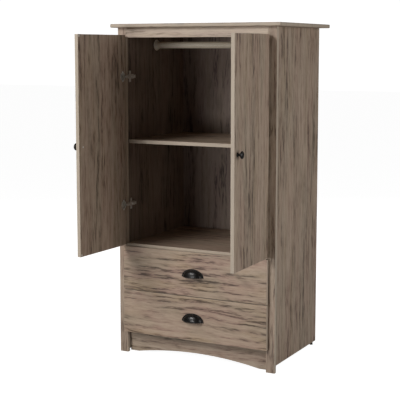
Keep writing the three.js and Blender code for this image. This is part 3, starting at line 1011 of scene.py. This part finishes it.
class Cluster:
    """One piece that gathers many copies of small shapes."""

    def __init__(self) -> None:
        """Starts empty."""
        self.bm = bmesh.new()

    def put(self, template: bpy.types.Mesh, place: Matrix) -> None:
        """Adds a copy.

        Args:
            template: The shape's mesh.
            place: Where the copy goes.
        """
        copy = template.copy()
        copy.transform(place)
        self.bm.from_mesh(copy)
        bpy.data.meshes.remove(copy)

    def finished(self, turn: Matrix | None = None) -> bmesh.types.BMesh:
        """Hands over the gathered shape, moved if asked."""
        if turn is not None:
            bmesh.ops.transform(self.bm, matrix=turn, verts=self.bm.verts)
        return self.bm

    def fasten(self, name: str, body: str, turn: Matrix | None = None) -> None:
        """Makes the gathered fasteners one piece, drawn near-white as a painted glint.

        Args:
            name: The piece's name.
            body: The body that it rides on.
            turn: A move to make first.
        """
        Piece(name, body, Slot.NICKEL, GLINT_SCREW_FINISH).add(self.finished(turn))


@dataclass
class Piece:
    """One finished object of the wardrobe, and how it joins the frame."""

    name: str
    body: str
    slot: Slot
    finish: Finish
    stands_for: tuple[str, ...] = ()
    smooth_degrees: float = 36.0
    reverse: Finish | None = None

    def add(self, bm: bmesh.types.BMesh) -> bpy.types.Object:
        """Makes the object from its shape and lets it ride.

        Args:
            bm: The shape, in place; it is used up.

        Returns:
            The object.
        """
        mesh = mesh_of(self.name, bm)
        mesh.polygons.foreach_set("use_smooth", [True] * len(mesh.polygons))
        mesh.set_sharp_from_angle(angle=math.radians(self.smooth_degrees))
        mesh.materials.append(self.finish.material())
        if self.reverse is not None:
            mesh.materials.append(self.reverse.material())
        item = bpy.data.objects.new(self.name, mesh)
        bpy.context.scene.collection.objects.link(item)
        weighted = item.modifiers.new("weighted_normals", "WEIGHTED_NORMAL")
        weighted.keep_sharp = True
        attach(item, self.body)
        if self.stands_for:
            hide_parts(*self.stands_for)
        log.info("%s on %s: %d faces", self.name, self.body, len(mesh.polygons))
        return item


def folded_metal(node: str, word: str, body: str, finish: Finish, radius: float) -> None:
    """Builds a folded metal part from its node's shape, with its edges rounded.

    Args:
        node: The node that it stands for.
        word: What the part is called after the node's name.
        body: The body that it rides on.
        finish: Its finish.
        radius: The width of its edge rounding.
    """
    bm = copy_of(node)
    ease(bm, radius, 2, degrees=40)
    Piece(f"{node}_{word}", body, Slot.NICKEL, finish, (node,)).add(bm)


@dataclass(frozen=True)
class Swing:
    """A door's turn about its hinge, from closed to the angle that it rests at."""

    pivot: Vector
    angle: float

    @property
    def opened(self) -> Matrix:
        """The move from closed to rest."""
        about = Matrix.Translation(self.pivot)
        return about @ Matrix.Rotation(self.angle, 4, "Z") @ about.inverted()

    def closed_box(self, node: str) -> tuple[Vector, Vector]:
        """The corners of a door's node, in metres, with the door closed.

        Args:
            node: The node's name.

        Returns:
            Lowest and highest corner.
        """
        back = self.opened.inverted()
        points = [back @ v.co for v in bpy.data.objects[node].data.vertices]
        low = Vector([min(p[i] for p in points) for i in range(3)])
        high = Vector([max(p[i] for p in points) for i in range(3)])
        return low, high


@dataclass
class Board:
    """A flat board: eased edges drawn worn and lighter, partly as painted highlight, and a figure that
    follows its grain.
    """

    node: str
    body: str
    grain: Axis
    seed: float
    finish: Finish = LAMINATE_FINISH
    slot: Slot = Slot.LAMINATE
    edge: float = 0.9 * MM
    segments: int = 3
    band: float = 5.0 * MM
    strip: float = 19.0 * MM
    reverse: Finish | None = None
    reverse_faces: Vector = field(default_factory=REARWARD.copy)
    from_copy: bool = False

    def shape(self, low: Vector, high: Vector) -> bmesh.types.BMesh:
        """Builds the board square to the axes.

        Args:
            low: Lowest corner.
            high: Highest corner.

        Returns:
            The board.
        """
        bm = copy_of(self.node) if self.from_copy else block(low, high)
        rounding = ease(bm, self.edge, self.segments)
        mark_edging(bm, rounding, self.strip)
        mark_wear(bm, rounding, self.band)
        bm.normal_update()
        lay_grain(bm, self.grain, self.seed)
        if self.reverse is not None:
            for face in bm.faces:
                face.material_index = 1 if face.normal.dot(self.reverse_faces) > 0.5 else 0
        return bm

    def build(self) -> bpy.types.Object:
        """Builds the board where its node is.

        Returns:
            The board's object.
        """
        name = self.node + "_board"
        piece = Piece(name, self.body, self.slot, self.finish, (self.node,), reverse=self.reverse)
        return piece.add(self.shape(*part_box(self.node)))


# ---------- fixings ----------


class Fixings:
    """The small repeated shapes, made once: screws, rivets and nails."""

    def __init__(self) -> None:
        """Makes the templates."""
        self.pan_screw = self.cross_head(3.4 * MM, 1.7 * MM)
        self.small_screw = self.cross_head(2.5 * MM, 1.2 * MM)
        self.rivet = self.head("rivet", [(0, 0.8), (1.1, 0.6), (1.7, 0), (0, 0)], 16)
        self.nail = self.head("nail", [(0, 0.5), (1.4, 0.4), (1.8, 0.1), (1.8, -0.3), (0, -0.3)], 12)

    def head(self, name: str, profile: list[tuple[float, float]], steps: int) -> bpy.types.Mesh:
        """A plain head turned from a profile in millimetres."""
        return mesh_of(name, turned([(r * MM, z * MM) for r, z in profile], steps))

    def cross_head(self, radius: float, height: float) -> bpy.types.Mesh:
        """A domed screw head with a crossed recess.

        Args:
            radius: The head's radius.
            height: How far the head stands up.

        Returns:
            The head's mesh, standing along +Z on the origin.
        """
        dome = turned(
            [
                (0, height),
                (radius * 0.45, height * 0.94),
                (radius * 0.75, height * 0.74),
                (radius * 0.93, height * 0.42),
                (radius, height * 0.1),
                (radius, -height * 0.3),
                (0, -height * 0.3),
            ],
            24,
        )
        arm, wide = radius * 0.62, radius * 0.14
        slots = [
            block(Vector((-arm, -wide, height * 0.3)), Vector((arm, wide, height * 2))),
            block(Vector((-wide, -arm, height * 0.3)), Vector((wide, arm, height * 2))),
        ]
        return evaluated(dome, slots)


# ---------- case ----------


@dataclass
class Case:
    """The carcass: sides, stiles, top, rail, deck, shelf, back, kick plate, pins and feet."""

    fixings: Fixings
    body: str = "case"
    top_round: float = 4.8 * MM
    nail_pitch: float = 125 * MM
    nail_inset: float = 8 * MM
    nail_sink: float = 0.2 * MM
    pin_chamfer: float = 0.5 * MM

    def build(self) -> None:
        """Builds every board and small part of the case."""
        for side in Side:
            # Each side panel's inner face takes the darker print as painted shade.
            Board(
                f"{side.word}_side_panel",
                self.body,
                Axis.Z,
                1.3 + side.value,
                reverse=INNER_SHADE_FINISH,
                reverse_faces=Vector((-side.value, 0, 0)),
            ).build()
            Board(f"{side.word}_stile", self.body, Axis.Z, 4.7 + side.value).build()
        Board("top_panel", self.body, Axis.X, 7.1, edge=self.top_round, segments=6).build()
        Board("top_rail", self.body, Axis.X, 8.4, finish=PALE_FINISH).build()
        Board("deck_panel", self.body, Axis.X, 9.2).build()
        Board("middle_shelf", self.body, Axis.X, 10.9).build()
        Board("kick_plate", self.body, Axis.X, 12.6, from_copy=True).build()
        # The back's inner face takes the darker print as painted shade; its rear face is bare hardboard.
        Board(
            "back_panel",
            self.body,
            Axis.Z,
            14.3,
            finish=BACK_SHADE_FINISH,
            slot=Slot.HARDBOARD,
            edge=0.3 * MM,
            segments=1,
            band=3 * MM,
            reverse=BARE_HARDBOARD,
        ).build()
        self.back_nails()
        self.shelf_pins()
        self.feet()

    def back_nails(self) -> None:
        """Nails round the edge of the back, and a row into the deck."""
        low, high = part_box("back_panel")
        deck_low, deck_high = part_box("deck_panel")
        nails = Cluster()
        left, right = low.x + self.nail_inset, high.x - self.nail_inset
        bottom, top = low.z + self.nail_inset, high.z - self.nail_inset
        rows = (top, (deck_low.z + deck_high.z) / 2)
        across = round((right - left) / self.nail_pitch)
        upright = round((top - bottom) / self.nail_pitch)
        places = [(left + (right - left) * i / across, z) for i in range(across + 1) for z in rows]
        places += [(x, bottom + (top - bottom) * i / upright) for i in range(upright) for x in (left, right)]
        for x, z in places:
            nails.put(self.fixings.nail, facing(Vector((x, high.y - self.nail_sink, z)), REARWARD))
        nails.fasten("back_nails", self.body)

    def shelf_pins(self) -> None:
        """Round pins with chamfered ends."""
        for side in Side:
            for row in ("front", "rear"):
                node = f"{side.word}_{row}_shelf_pin"
                low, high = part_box(node)
                profile = bar_profile((high.z - low.z) / 2, high.x - low.x, self.pin_chamfer)
                start = low.x if side is Side.RIGHT else high.x
                centre = Vector((start, (low.y + high.y) / 2, (low.z + high.z) / 2))
                bm = turned(profile, 24, facing(centre, Vector((side.value, 0, 0))))
                Piece(node + "_turned", self.body, Slot.NICKEL, NICKEL_AND_SHEEN_FINISH, (node,)).add(bm)

    def feet(self) -> None:
        """Moulded rear glides with a rounded foot and a waist."""
        for side in Side:
            node = f"{side.word}_rear_glide"
            low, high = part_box(node)
            r, h = (high.x - low.x) / 2, high.z - low.z
            waist = r * 0.86
            profile = [
                (0, 0), (r * 0.7, 0), (r * 0.9, 0.4 * MM), (r, 1.4 * MM), (r, h * 0.3),
                (waist, h * 0.4), (waist, h * 0.75), (r, h * 0.84), (r, h), (0, h),
            ]
            foot = Vector(((low.x + high.x) / 2, (low.y + high.y) / 2, low.z))
            bm = turned(profile, 32, Matrix.Translation(foot))
            Piece(node + "_moulding", self.body, Slot.BLACK_PLASTIC, GLIDE_FINISH, (node,)).add(bm)


@dataclass
class ClothesRod:
    """The hanging rod and the two sockets that hold it."""

    fixings: Fixings
    body: str = "case"
    rod_chamfer: float = 1.2 * MM
    socket_clearance: float = 0.4 * MM
    socket_wall: float = 3 * MM
    flange: float = 3 * MM
    screw_circle: float = 21.5 * MM
    screw_sink: float = 0.2 * MM

    def build(self) -> None:
        """Builds the rod, the sockets and their screws."""
        low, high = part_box("hanging_rod")
        radius = (high.z - low.z) / 2
        middle = Vector((low.x, (low.y + high.y) / 2, (low.z + high.z) / 2))
        profile = bar_profile(radius, high.x - low.x, self.rod_chamfer)
        bm = turned(profile, move=facing(middle, Vector((1, 0, 0))))
        Piece("hanging_rod_turned", self.body, Slot.ROD, LIT_ROD_FINISH, ("hanging_rod",)).add(bm)
        for side in Side:
            self.socket(side, middle, radius)

    def socket(self, side: Side, middle: Vector, rod_radius: float) -> None:
        """Builds one socket with a rolled lip and three screws.

        Args:
            side: Which end of the rod.
            middle: A point on the rod's axis.
            rod_radius: The rod's radius.
        """
        node = f"{side.word}_rod_flange"
        low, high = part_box(node)
        r, depth = (high.z - low.z) / 2, high.x - low.x
        inner = rod_radius + self.socket_clearance
        outer = inner + self.socket_wall
        t = self.flange
        profile = [
            (0, 0), (r - 0.6 * MM, 0), (r, 0.6 * MM), (r, t - 1.0 * MM), (r - 0.3 * MM, t - 0.3 * MM),
            (r - 1 * MM, t), (outer + 1 * MM, t), (outer + 0.2 * MM, t + 0.4 * MM),
            (outer, t + 1.2 * MM), (outer, depth - 1.2 * MM), (outer - 0.4 * MM, depth - 0.3 * MM),
            (outer - 1.2 * MM, depth), (inner + 0.5 * MM, depth), (inner, depth - 0.6 * MM),
            (inner, t), (0, t),
        ]
        wall = Vector((high.x if side is Side.RIGHT else low.x, middle.y, middle.z))
        inward = Vector((-side.value, 0, 0))
        bm = turned(profile, move=facing(wall, inward))
        Piece(node + "_moulding", self.body, Slot.CREAM, CREAM_FINISH, (node,)).add(bm)
        screws = Cluster()
        for i in range(3):
            turn = math.radians(90 + 120 * i)
            spot = wall + inward * (t - self.screw_sink)
            spot += Vector((0, math.cos(turn), math.sin(turn))) * self.screw_circle
            screws.put(self.fixings.small_screw, facing(spot, inward))
        screws.fasten(f"{side.word}_rod_flange_screws", self.body)


# ---------- doors ----------


@dataclass
class Door:
    """One door: its board with bored hinge cups, its knob, and its hinges."""

    side: Side
    fixings: Fixings
    swing: Swing
    seed: float
    cup_clearance: float = 0.3 * MM
    cup_rim: float = 1.2 * MM
    bore_length: float = 30 * MM
    bumper_radius: float = 4.0 * MM
    bumper_height: float = 1.5 * MM
    bumper_inset: float = 8.0 * MM
    wing_screw_y: float = 12 * MM
    wing_screw_z: float = 18 * MM
    arm_screws_y: tuple[float, float] = (9 * MM, 31 * MM)
    rivet_y: float = 20 * MM
    ear_screw_inset: float = 5 * MM

    @property
    def word(self) -> str:
        """The side's name."""
        return self.side.word

    @property
    def body(self) -> str:
        """The body that the door's pieces ride on."""
        return f"{self.word}_door"

    def build(self) -> None:
        """Builds the door, its knob, its buffers and both hinges."""
        self.panel()
        self.knob()
        self.bumpers()
        for place in HINGE_PLACES:
            self.hinge(place)

    def panel(self) -> None:
        """The board, bored for the hinge cups while closed and then swung to rest."""
        node = f"{self.word}_door_panel"
        low, high = self.swing.closed_box(node)
        bm = Board(node, self.body, Axis.Z, self.seed).shape(low, high)
        bores = []
        for place in HINGE_PLACES:
            cup_low, cup_high = self.swing.closed_box(f"{self.word}_{place}_hinge_cup")
            radius = (cup_high.x - cup_low.x) / 2 - self.cup_rim + self.cup_clearance
            depth = self.bore_length
            bore = bmesh.new()
            bmesh.ops.create_cone(
                bore, cap_ends=True, segments=64, radius1=radius, radius2=radius, depth=depth
            )
            centre = (cup_low + cup_high) / 2
            centre.y = cup_low.y - self.cup_clearance + depth / 2
            bmesh.ops.transform(bore, matrix=facing(centre, REARWARD), verts=bore.verts)
            bores.append(bore)
        bm = from_mesh(evaluated(bm, bores))
        bmesh.ops.transform(bm, matrix=self.swing.opened, verts=bm.verts)
        Piece(node + "_board", self.body, Slot.LAMINATE, LAMINATE_FINISH, (node,)).add(bm)

    def knob(self) -> None:
        """A turned mushroom knob on a stepped rose, and its screw on the inside."""
        node = f"{self.word}_door_knob"
        low, high = self.swing.closed_box(node)
        centre = (low + high) / 2
        r, length = (high.z - low.z) / 2, high.y - low.y
        rose = 9 * MM
        neck = 5.2 * MM
        profile = [
            (0, 0), (rose - 0.3 * MM, 0), (rose, 0.4 * MM), (rose, 1.3 * MM),
            (rose - 0.7 * MM, 2.2 * MM), (rose - 1.8 * MM, 2.9 * MM), (neck + 0.9 * MM, 3.8 * MM),
            (neck + 0.1 * MM, 5.2 * MM), (neck, 7.5 * MM), (neck + 0.1 * MM, 9.8 * MM),
            (neck + 0.8 * MM, 12 * MM), (neck + 2.6 * MM, 14 * MM), (r * 0.7, 15.2 * MM),
            (r * 0.88, 16.2 * MM), (r * 0.97, 17.4 * MM), (r, 19 * MM), (r * 0.985, 20.4 * MM),
            (r * 0.93, 21.8 * MM), (r * 0.83, 23.2 * MM), (r * 0.68, 24.3 * MM), (r * 0.48, 25.2 * MM),
            (r * 0.25, length - 0.25 * MM), (0, length),
        ]
        foot = Vector((centre.x, high.y, centre.z))
        bm = turned(profile, move=self.swing.opened @ facing(foot, -REARWARD))
        Piece(node + "_turned", self.body, Slot.BLACK_METAL, IRON_FINISH, (node,), smooth_degrees=50).add(bm)
        _, panel_high = self.swing.closed_box(f"{self.word}_door_panel")
        screw = Cluster()
        spot = Vector((centre.x, panel_high.y - HEAD_SINK, centre.z))
        screw.put(self.fixings.pan_screw, facing(spot, REARWARD))
        screw.fasten(f"{self.word}_knob_screw", self.body, self.swing.opened)

    def bumpers(self) -> None:
        """Clear stick-on buffers at the free corners of the door's inner face."""
        low, high = self.swing.closed_box(f"{self.word}_door_panel")
        free = low.x if self.side is Side.RIGHT else high.x
        r, t = self.bumper_radius, self.bumper_height
        profile = [(0, t), (r * 0.5, t * 0.92), (r * 0.82, t * 0.66), (r, t * 0.1), (0, 0)]
        dome = mesh_of("bumper", turned(profile, 24))
        pads = Cluster()
        for z in (low.z + self.bumper_inset, high.z - self.bumper_inset):
            spot = Vector((free + self.side.value * self.bumper_inset, high.y, z))
            pads.put(dome, facing(spot, REARWARD))
        piece = Piece(f"{self.word}_door_bumpers", self.body, Slot.CREAM, CREAM_FINISH)
        piece.add(pads.finished(self.swing.opened))

    def hinge(self, place: str) -> None:
        """One cup hinge: plate and arm on the case, cup in the door, lever between them.

        Args:
            place: Upper or lower hinge.
        """
        stem = f"{self.word}_{place}_hinge"
        for part, body, radius in (
            ("plate", "case", 0.5 * MM),
            ("arm", "case", 0.35 * MM),
            ("cup", self.body, 0.25 * MM),
            ("link", f"{self.word}_hinge_links", 0.25 * MM),
        ):
            folded_metal(f"{stem}_{part}", "pressing", body, NICKEL_AND_SHEEN_FINISH, radius)
        self.case_screws(stem)
        self.door_screws(stem)

    def case_screws(self, stem: str) -> None:
        """Screws in the plate's wings, the arm's two adjusting screws and its rivet.

        Args:
            stem: The hinge's name.
        """
        low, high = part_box(f"{stem}_plate")
        arm_low, arm_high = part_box(f"{stem}_arm")
        inward = Vector((-self.side.value, 0, 0))
        plate_x = low.x if self.side is Side.RIGHT else high.x
        arm_x = arm_low.x if self.side is Side.RIGHT else arm_high.x
        middle_z = (low.z + high.z) / 2
        screw, rivet = self.fixings.pan_screw, self.fixings.rivet
        heads = [(screw, plate_x, self.wing_screw_y, end * self.wing_screw_z) for end in (-1, 1)]
        heads += [(screw, arm_x, y, 0.0) for y in self.arm_screws_y]
        heads.append((rivet, arm_x, self.rivet_y, 0.0))
        screws = Cluster()
        for head, x, along, rise in heads:
            spot = Vector((x, low.y + along, middle_z + rise)) - inward * HEAD_SINK
            screws.put(head, facing(spot, inward))
        screws.fasten(f"{stem}_case_screws", "case")

    def door_screws(self, stem: str) -> None:
        """The two screws in the cup's ears.

        Args:
            stem: The hinge's name.
        """
        low, high = self.swing.closed_box(f"{stem}_cup")
        centre = (low + high) / 2
        ear = (high.z - low.z) / 2 - self.ear_screw_inset
        screws = Cluster()
        for end in (-1, 1):
            spot = Vector((centre.x, high.y - HEAD_SINK, centre.z + end * ear))
            screws.put(self.fixings.pan_screw, facing(spot, REARWARD))
        screws.fasten(f"{stem}_cup_screws", self.body, self.swing.opened)


# ---------- drawers ----------


@dataclass
class Drawer:
    """One drawer: its front and pull, the box behind it, and its runners."""

    place: str
    fixings: Fixings
    seed: float
    pull_wall: float = 2.4 * MM
    pull_border: float = 6 * MM
    flange: float = 2.5 * MM
    flange_edge: float = 0.7 * MM
    pull_screw_inset: float = 12 * MM
    runner_edge: float = 0.35 * MM

    @property
    def body(self) -> str:
        """The body that the drawer's pieces ride on."""
        return f"{self.place}_drawer"

    def build(self) -> None:
        """Builds the front, the box, the pull and the runners."""
        Board(f"{self.place}_drawer_front", self.body, Axis.X, self.seed, finish=DRAWER_FRONT_FINISH).build()
        wall = {"finish": BOX_FINISH, "slot": Slot.DRAWER_BOX, "edge": 0.6 * MM, "segments": 2}
        floor = {"finish": BOX_FINISH, "slot": Slot.HARDBOARD, "edge": 0.3 * MM, "segments": 1}
        for side in Side:
            node = f"{side.word}_{self.place}_drawer_side"
            Board(node, self.body, Axis.Y, self.seed + 2 + side.value, from_copy=True, **wall).build()
        Board(f"{self.place}_drawer_back", self.body, Axis.X, self.seed + 5, **wall).build()
        Board(f"{self.place}_drawer_bottom", self.body, Axis.X, self.seed + 6, **floor).build()
        self.pull()
        for side in Side:
            self.runners(side)

    def pull(self) -> None:
        """A cast cup pull: a hollow quarter-round hood on a flange, open below."""
        node = f"{self.place}_cup_pull"
        low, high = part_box(node)
        centre_x = (low.x + high.x) / 2
        half, height, depth = (high.x - low.x) / 2, high.z - low.z, high.y - low.y
        hood_half, hood_height = half - self.pull_border, height - self.pull_border / 2
        hood = bmesh.new()
        bmesh.ops.create_uvsphere(hood, u_segments=72, v_segments=48, radius=1.0)
        bmesh.ops.scale(hood, vec=(hood_half, depth, hood_height), verts=hood.verts)
        for plane in (Vector((0, 1, 0)), Vector((0, 0, -1))):
            geometry = list(hood.verts) + list(hood.edges) + list(hood.faces)
            bmesh.ops.bisect_plane(hood, geom=geometry, plane_co=(0, 0, 0), plane_no=plane, clear_outer=True)
        bmesh.ops.recalc_face_normals(hood, faces=hood.faces)
        if sum(f.normal.y for f in hood.faces) > 0:
            bmesh.ops.reverse_faces(hood, faces=hood.faces)
        bmesh.ops.solidify(hood, geom=list(hood.faces), thickness=self.pull_wall)
        self.keep_in_front(hood)
        plate = self.pull_plate(half, height, hood_half - self.pull_wall, hood_height - self.pull_wall)
        pull = Cluster()
        pull.put(mesh_of("hood", hood), Matrix.Identity(4))
        pull.put(mesh_of("plate", plate), Matrix.Identity(4))
        bm = pull.finished(Matrix.Translation(Vector((centre_x, high.y, low.z))))
        Piece(node + "_casting", self.body, Slot.BLACK_METAL, IRON_FINISH, (node,), smooth_degrees=48).add(bm)
        self.pull_screws(centre_x, (low.z + high.z) / 2, half)

    def keep_in_front(self, bm: bmesh.types.BMesh) -> None:
        """Presses a hood's rims flat on the drawer front and on its open underside."""
        for vert in bm.verts:
            vert.co.y = min(vert.co.y, 0.0)
            vert.co.z = max(vert.co.z, 0.0)

    def pull_plate(
        self, half: float, height: float, inner_half: float, inner_height: float
    ) -> bmesh.types.BMesh:
        """The half-oval flange, open behind the hood.

        Args:
            half: Half the flange's width.
            height: The flange's height.
            inner_half: Half the opening's width.
            inner_height: The opening's height.

        Returns:
            The flange, with its back on Y = 0.
        """
        bm = bmesh.new()
        rings = []
        for wide, tall in ((half, height), (inner_half, inner_height)):
            ring = bmesh.ops.create_circle(bm, cap_ends=False, segments=96, radius=1.0)["verts"]
            bmesh.ops.scale(bm, vec=(wide, tall, 1.0), verts=ring)
            rings += list({e for v in ring for e in v.link_edges})
        bmesh.ops.bridge_loops(bm, edges=rings)
        bmesh.ops.rotate(bm, matrix=Matrix.Rotation(math.radians(90), 3, "X"), verts=bm.verts)
        geometry = list(bm.verts) + list(bm.edges) + list(bm.faces)
        bmesh.ops.bisect_plane(bm, geom=geometry, plane_co=(0, 0, 0), plane_no=(0, 0, -1), clear_outer=True)
        grown = bmesh.ops.extrude_face_region(bm, geom=list(bm.faces))
        moved = [g for g in grown["geom"] if isinstance(g, bmesh.types.BMVert)]
        bmesh.ops.translate(bm, vec=(0, -self.flange, 0), verts=moved)
        bmesh.ops.recalc_face_normals(bm, faces=bm.faces)
        ease(bm, self.flange_edge, degrees=60)
        return bm

    def pull_screws(self, centre_x: float, centre_z: float, half: float) -> None:
        """The pull's two screws, on the inside of the drawer front.

        Args:
            centre_x: The pull's middle.
            centre_z: The pull's middle height.
            half: Half the pull's width.
        """
        _, front_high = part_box(f"{self.place}_drawer_front")
        screws = Cluster()
        for end in (-1, 1):
            x = centre_x + end * (half - self.pull_screw_inset)
            spot = Vector((x, front_high.y - HEAD_SINK, centre_z))
            screws.put(self.fixings.pan_screw, facing(spot, REARWARD))
        screws.fasten(f"{self.place}_pull_screws", self.body)

    def runners(self, side: Side) -> None:
        """The two nested channels on one side.

        Args:
            side: Which side of the drawer.
        """
        stem = f"{side.word}_{self.place}"
        for part, body in (("case_runner", "case"), ("drawer_runner", self.body)):
            folded_metal(f"{stem}_{part}", "channel", body, RUNNER_FINISH, self.runner_edge)


# ---------- studio ----------


@dataclass(frozen=True)
class SoftBox:
    """An oblong soft light that points at a spot."""

    name: str
    place: tuple[float, float, float]
    target: tuple[float, float, float]
    width: float
    height: float
    power: float

    def build(self) -> None:
        """Makes the light."""
        light = bpy.data.lights.new(self.name, "AREA")
        light.shape = "RECTANGLE"
        light.size = self.width
        light.size_y = self.height
        light.energy = self.power
        lamp = bpy.data.objects.new(self.name, light)
        lamp.location = self.place
        aim = Vector(self.target) - Vector(self.place)
        lamp.rotation_euler = aim.to_track_quat("-Z", "Y").to_euler()
        bpy.context.scene.collection.objects.link(lamp)


@dataclass
class Studio:
    """The pale floor, the soft lights and the camera."""

    floor_size: float = 60.0
    sky_seen: float = 1.05
    sky_light: float = 0.02
    floor_seen: float = 0.97
    floor_light: float = 0.04
    camera_place: tuple[float, float, float] = (2.1516, -4.0498, 1.3647)
    camera_turn: float = 27.5843
    camera_tilt: float = 6.949
    lens: float = 96.489
    shift: tuple[float, float] = (-0.0049, -0.05)
    lights: tuple[SoftBox, ...] = (
        SoftBox("key_light", (-1.6, -3.2, 3.0), (0.0, -0.1, 0.8), 1.4, 1.4, 86.0),
        SoftBox("low_fill", (-0.9, -3.4, 0.6), (0.1, 0.2, 1.4), 0.7, 0.5, 24.0),
        SoftBox("side_light", (3.1, 0.3, 1.3), (0.2, 0.1, 0.8), 3.0, 2.0, 22.0),
        SoftBox("door_light", (3.0, -1.35, 1.2), (0.2, -0.1, 0.9), 0.7, 1.6, 20.0),
        SoftBox("rear_light", (-1.9, 3.8, 2.4), (0.0, 0.5, 0.8), 1.6, 1.6, 60.0),
        SoftBox("top_light", (0.0, 0.4, 3.6), (0.0, 0.3, 0.0), 2.0, 2.0, 8.0),
    )

    def build(self) -> None:
        """Makes the whole studio."""
        self.floor()
        self.sky()
        for light in self.lights:
            light.build()
        self.camera()
        bpy.context.scene.view_settings.view_transform = "Standard"

    def floor(self) -> None:
        """A wide near-white floor that takes only a faint shadow."""
        bm = bmesh.new()
        bmesh.ops.create_grid(bm, x_segments=8, y_segments=8, size=self.floor_size / 2)
        bmesh.ops.translate(bm, vec=(0, 0, -0.2 * MM), verts=bm.verts)
        mesh = mesh_of("floor", bm)
        floor = bpy.data.objects.new("floor", mesh)
        bpy.context.scene.collection.objects.link(floor)
        material, graph, shader = blank_material("studio_floor")
        shader.inputs["Base Color"].default_value = (0.3, 0.3, 0.3, 1.0)
        shader.inputs["Roughness"].default_value = 0.9
        shader.inputs["Emission Color"].default_value = (1.0, 1.0, 1.0, 1.0)
        seen = graph.add("ShaderNodeLightPath").outputs["Is Camera Ray"]
        glow = graph.add("ShaderNodeMapRange", {0: seen, 3: self.floor_light, 4: self.floor_seen}).outputs[0]
        graph.tree.links.new(glow, shader.inputs["Emission Strength"])
        mesh.materials.append(material)

    def sky(self) -> None:
        """An even white surround, bright to the camera and dimmer as light."""
        world = bpy.data.worlds.new("studio_sky")
        bpy.context.scene.world = world
        world.use_nodes = True
        world.node_tree.nodes.clear()
        graph = Graph(world.node_tree)
        seen = graph.add("ShaderNodeLightPath").outputs["Is Camera Ray"]
        strength = graph.add("ShaderNodeMapRange", {0: seen, 3: self.sky_light, 4: self.sky_seen}).outputs[0]
        white = graph.add("ShaderNodeBackground", {0: (1.0, 1.0, 1.0, 1.0), 1: strength})
        graph.add("ShaderNodeOutputWorld", {0: white.outputs[0]})

    def camera(self) -> None:
        """The camera that looks at the wardrobe's right front corner."""
        data = bpy.data.cameras.new("camera")
        data.sensor_width = 36.0
        data.lens = self.lens
        data.shift_x, data.shift_y = self.shift
        camera = bpy.data.objects.new("camera", data)
        camera.location = self.camera_place
        camera.rotation_euler = (math.radians(90 - self.camera_tilt), 0.0, math.radians(self.camera_turn))
        bpy.context.scene.collection.objects.link(camera)
        bpy.context.scene.camera = camera


def main() -> None:
    """Builds the wardrobe's looks round the frame, sub-assembly by sub-assembly."""
    logging.basicConfig(level=logging.INFO, format="%(message)s")
    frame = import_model()
    Studio().build()
    fixings = Fixings()
    Case(fixings).build()
    ClothesRod(fixings).build()
    joints = {joint["name"]: joint for joint in frame["joints"]}
    for side in Side:
        joint = joints[f"{side.word}_door_hinge"]
        turn = math.radians(joint["range_deg"][1]) * -joint["axis"][2]
        Door(side, fixings, Swing(Vector(joint["pos_m"]), turn), DOOR_SEEDS[side]).build()
    for place, seed in DRAWER_SEEDS.items():
        Drawer(place, fixings, seed).build()


if __name__ == "__main__":
    main()
